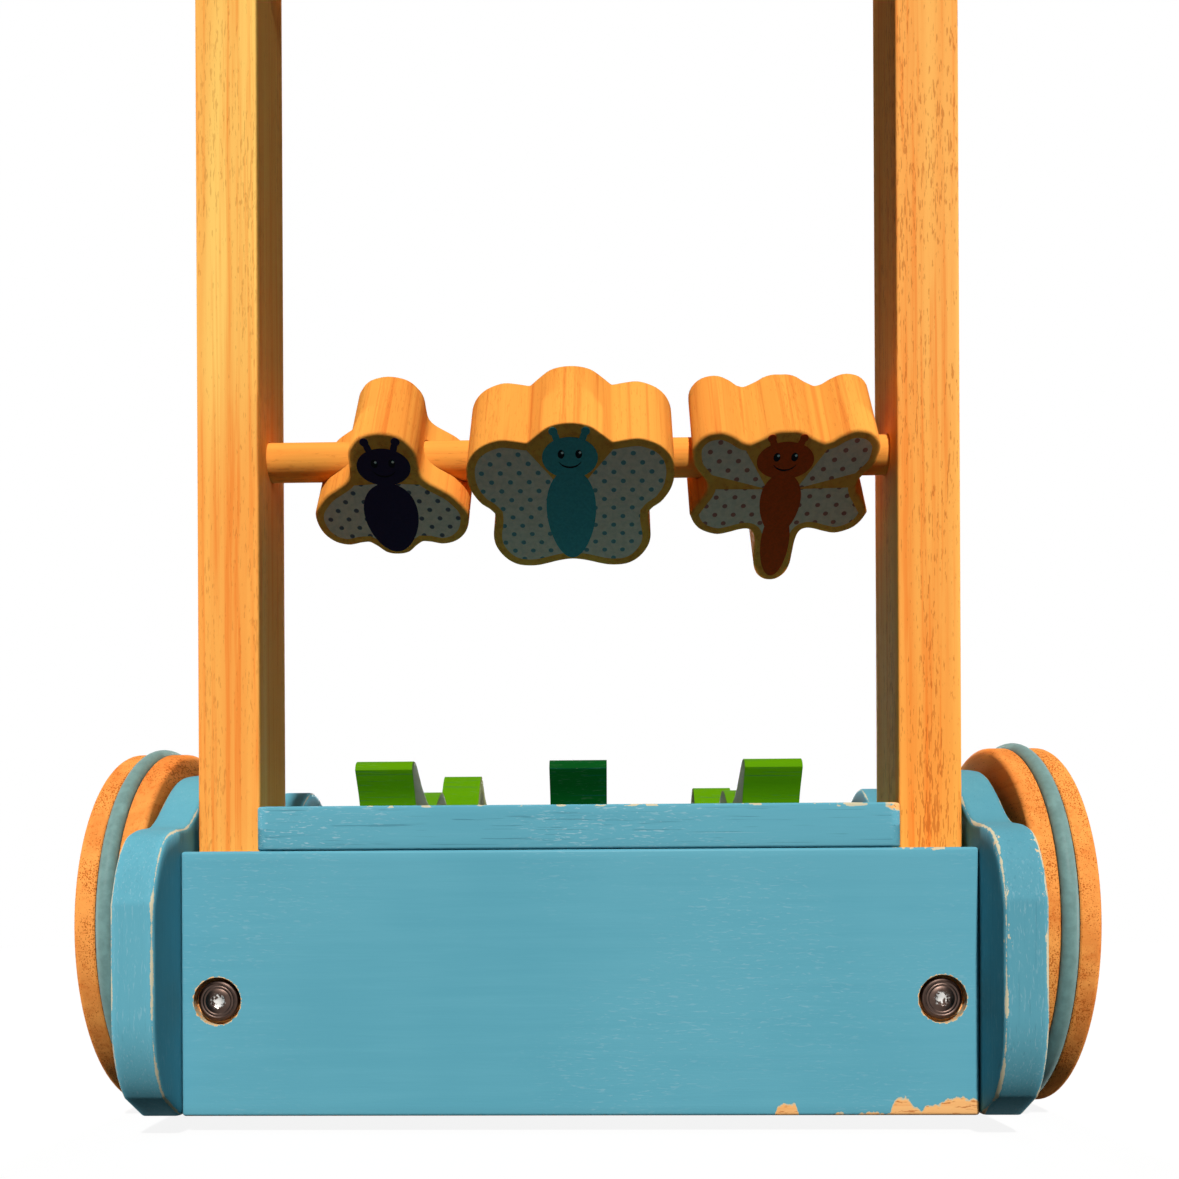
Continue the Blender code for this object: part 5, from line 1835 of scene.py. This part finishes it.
def fork_and_leg(piece, node, hinge):
    """Cuts the fork that straddles the tongue, and adds the leg that rides on the cam."""
    rear, front = leg_foot(node)
    half = abs(rear.x - hinge.x)
    ahead = jaw_way(node)
    up = Vector((0, -ahead.z, ahead.y))
    corner = Vector((hinge.x - FORK_HALF, hinge.y, hinge.z))
    corner = corner - ahead * FORK_REACH - up * FORK_REACH
    across = Vector((2 * FORK_HALF, 0, 0))
    reach = ahead * (FORK_REACH + FORK_FRONT)
    corners = [corner, corner + across, corner + across + reach, corner + reach]
    cut(piece, block("fork", corners, up * 2 * FORK_REACH))
    corners = [
        Vector((hinge.x - half, rear.y, rear.z)),
        Vector((hinge.x + half, rear.y, rear.z)),
        Vector((hinge.x + half, front.y, front.z)),
        Vector((hinge.x - half, front.y, front.z)),
    ]
    height = (hinge - rear).dot(up) + LEG_TOP
    cut(piece, block("leg", corners, up * height), "UNION")


class PUSHTOY_OT_inner_parts(bpy.types.Operator):
    """Finishes the axles, cams, dowels and nuts, which stay as the CAD made them"""

    bl_idname = "push_toy.inner_parts"
    bl_label = "Inner parts"

    def execute(self, context):
        for node in frame["nodes"]:
            if node.endswith("_axle") or node.startswith(("barrel_nut", "jaw_pivot")):
                paint_node(node, steel())
            elif node.startswith(("dowel", "cam")):
                paint_node(node, bare_wood("rod"))
        return {"FINISHED"}


class PUSHTOY_OT_stage(bpy.types.Operator):
    """Sets the floor, the lamps, the world and the camera"""

    bl_idname = "push_toy.stage"
    bl_label = "Stage"

    def execute(self, context):
        scene = context.scene
        scene.view_settings.view_transform = "Standard"
        make_floor()
        make_world(scene)
        make_lamps(scene)
        make_camera(scene)
        return {"FINISHED"}


def seen_plainly(work):
    """1 where the camera sees a surface, directly, in a gloss or through glass, and else 0."""
    light = work.add("ShaderNodeLightPath").outputs
    seen = work.sum("MAXIMUM", light["Is Camera Ray"], light["Is Glossy Ray"])
    return work.sum("MAXIMUM", seen, light["Is Transmission Ray"])


def make_floor():
    """A pale floor that keeps the toy's shadow and is white where it has none."""
    bpy.ops.object.select_all(action="DESELECT")
    bpy.ops.mesh.primitive_plane_add(size=8, location=(0, 0, 0))
    floor = bpy.context.object
    floor.name = "floor"
    material, work, shader = new_material("Pale floor")
    shader.inputs["Roughness"].default_value = 0.9
    set_gloss(material, 0.0)
    seen = seen_plainly(work)
    lift = work.sum("MULTIPLY", seen, 0.89)
    ground = work.mix(seen, (0.05, 0.05, 0.05), (0.12, 0.12, 0.12))
    work.tree.links.new(ground, shader.inputs["Base Color"])
    shader.inputs["Emission Color"].default_value = (1, 1, 1, 1)
    work.tree.links.new(lift, shader.inputs["Emission Strength"])
    floor.data.materials.append(material)


def make_world(scene):
    """White to look at, and nearly dark to the toy."""
    world = bpy.data.worlds.new("Studio")
    scene.world = world
    world.use_nodes = True
    work = Tree(world.node_tree)
    back = world.node_tree.nodes["Background"]
    back.inputs["Color"].default_value = (1, 1, 1, 1)
    strength = work.sum("MULTIPLY_ADD", seen_plainly(work), 0.95, 0.05)
    work.tree.links.new(strength, back.inputs["Strength"])


# Each lamp's strength, how wide it looks in radians, its place and its colour
LAMPS = {
    "key": (3.95, 0.03, (0.09, -1.5, 1.42), (1.0, 0.99, 0.97)),
    "front_fill": (2.0, 0.1, (0.0, 1.6, 0.45), (1.0, 1.0, 1.0)),
    "left_fill": (1.6, 0.02, (-1.6, 0.0, 0.17), (1.0, 1.0, 1.0)),
    "right_fill": (1.6, 0.02, (1.6, 0.0, 0.17), (1.0, 1.0, 1.0)),
}
LAMP_AIM = Vector((0, 0, 0.15))


def make_lamps(scene):
    for name, (energy, angle, place, colour) in LAMPS.items():
        data = bpy.data.lights.new(name, "SUN")
        data.energy = energy
        data.color = colour
        data.angle = angle
        lamp = bpy.data.objects.new(name, data)
        lamp.location = place
        aim = LAMP_AIM - Vector(place)
        lamp.rotation_euler = aim.to_track_quat("-Z", "Y").to_euler()
        scene.collection.objects.link(lamp)


# The photograph's camera: its lens and sensor in mm, its shift, its place, and its turn and
# roll from a level view along +Y
LENS = 36.805
SENSOR = 36
SHIFT = (0.01127, 0.28541)
CAMERA_PLACE = (0.0098, -0.6313, 0.0780)
CAMERA_TURN = math.radians(1.287)
CAMERA_ROLL = math.radians(-0.275)


def make_camera(scene):
    data = bpy.data.cameras.new("camera")
    data.lens = LENS
    data.sensor_width = SENSOR
    data.shift_x, data.shift_y = SHIFT
    data.clip_start = 0.01
    camera = bpy.data.objects.new("camera", data)
    camera.location = CAMERA_PLACE
    turn = Matrix.Rotation(CAMERA_TURN, 4, "Z") @ Matrix.Rotation(math.pi / 2, 4, "X")
    turn = turn @ Matrix.Rotation(CAMERA_ROLL, 4, "Z")
    camera.rotation_euler = turn.to_euler()
    scene.collection.objects.link(camera)
    scene.camera = camera


class PUSHTOY_PT_panel(bpy.types.Panel):
    """Lists the finisher's steps and settings"""

    bl_label = "Push Toy"
    bl_idname = "PUSHTOY_PT_panel"
    bl_space_type = "VIEW_3D"
    bl_region_type = "UI"
    bl_category = "Push Toy"

    def draw(self, context):
        layout = self.layout
        for step in STEPS:
            layout.operator(step.bl_idname)
        for group in (context.scene.push_toy_sizes, context.scene.push_toy_colours):
            column = layout.column()
            for key in group.__annotations__:
                column.prop(group, key)


STEPS = (
    PUSHTOY_OT_boards,
    PUSHTOY_OT_side_panels,
    PUSHTOY_OT_uprights,
    PUSHTOY_OT_rods,
    PUSHTOY_OT_insects,
    PUSHTOY_OT_artwork,
    PUSHTOY_OT_wheels,
    PUSHTOY_OT_bolts,
    PUSHTOY_OT_alligators,
    PUSHTOY_OT_inner_parts,
    PUSHTOY_OT_stage,
)
CLASSES = (PushToySizes, PushToyColours, *STEPS, PUSHTOY_PT_panel)


def register():
    for kind in CLASSES:
        bpy.utils.register_class(kind)
    bpy.types.Scene.push_toy_sizes = bpy.props.PointerProperty(type=PushToySizes)
    bpy.types.Scene.push_toy_colours = bpy.props.PointerProperty(type=PushToyColours)


def unregister():
    del bpy.types.Scene.push_toy_colours
    del bpy.types.Scene.push_toy_sizes
    for kind in reversed(CLASSES):
        bpy.utils.unregister_class(kind)


def main():
    register()
    bpy.ops.push_toy.boards()
    bpy.ops.push_toy.side_panels()
    bpy.ops.push_toy.uprights()
    bpy.ops.push_toy.rods()
    bpy.ops.push_toy.insects()
    bpy.ops.push_toy.artwork()
    bpy.ops.push_toy.wheels()
    bpy.ops.push_toy.bolts()
    bpy.ops.push_toy.alligators()
    bpy.ops.push_toy.inner_parts()
    bpy.ops.push_toy.stage()


if __name__ == "__main__":
    main()
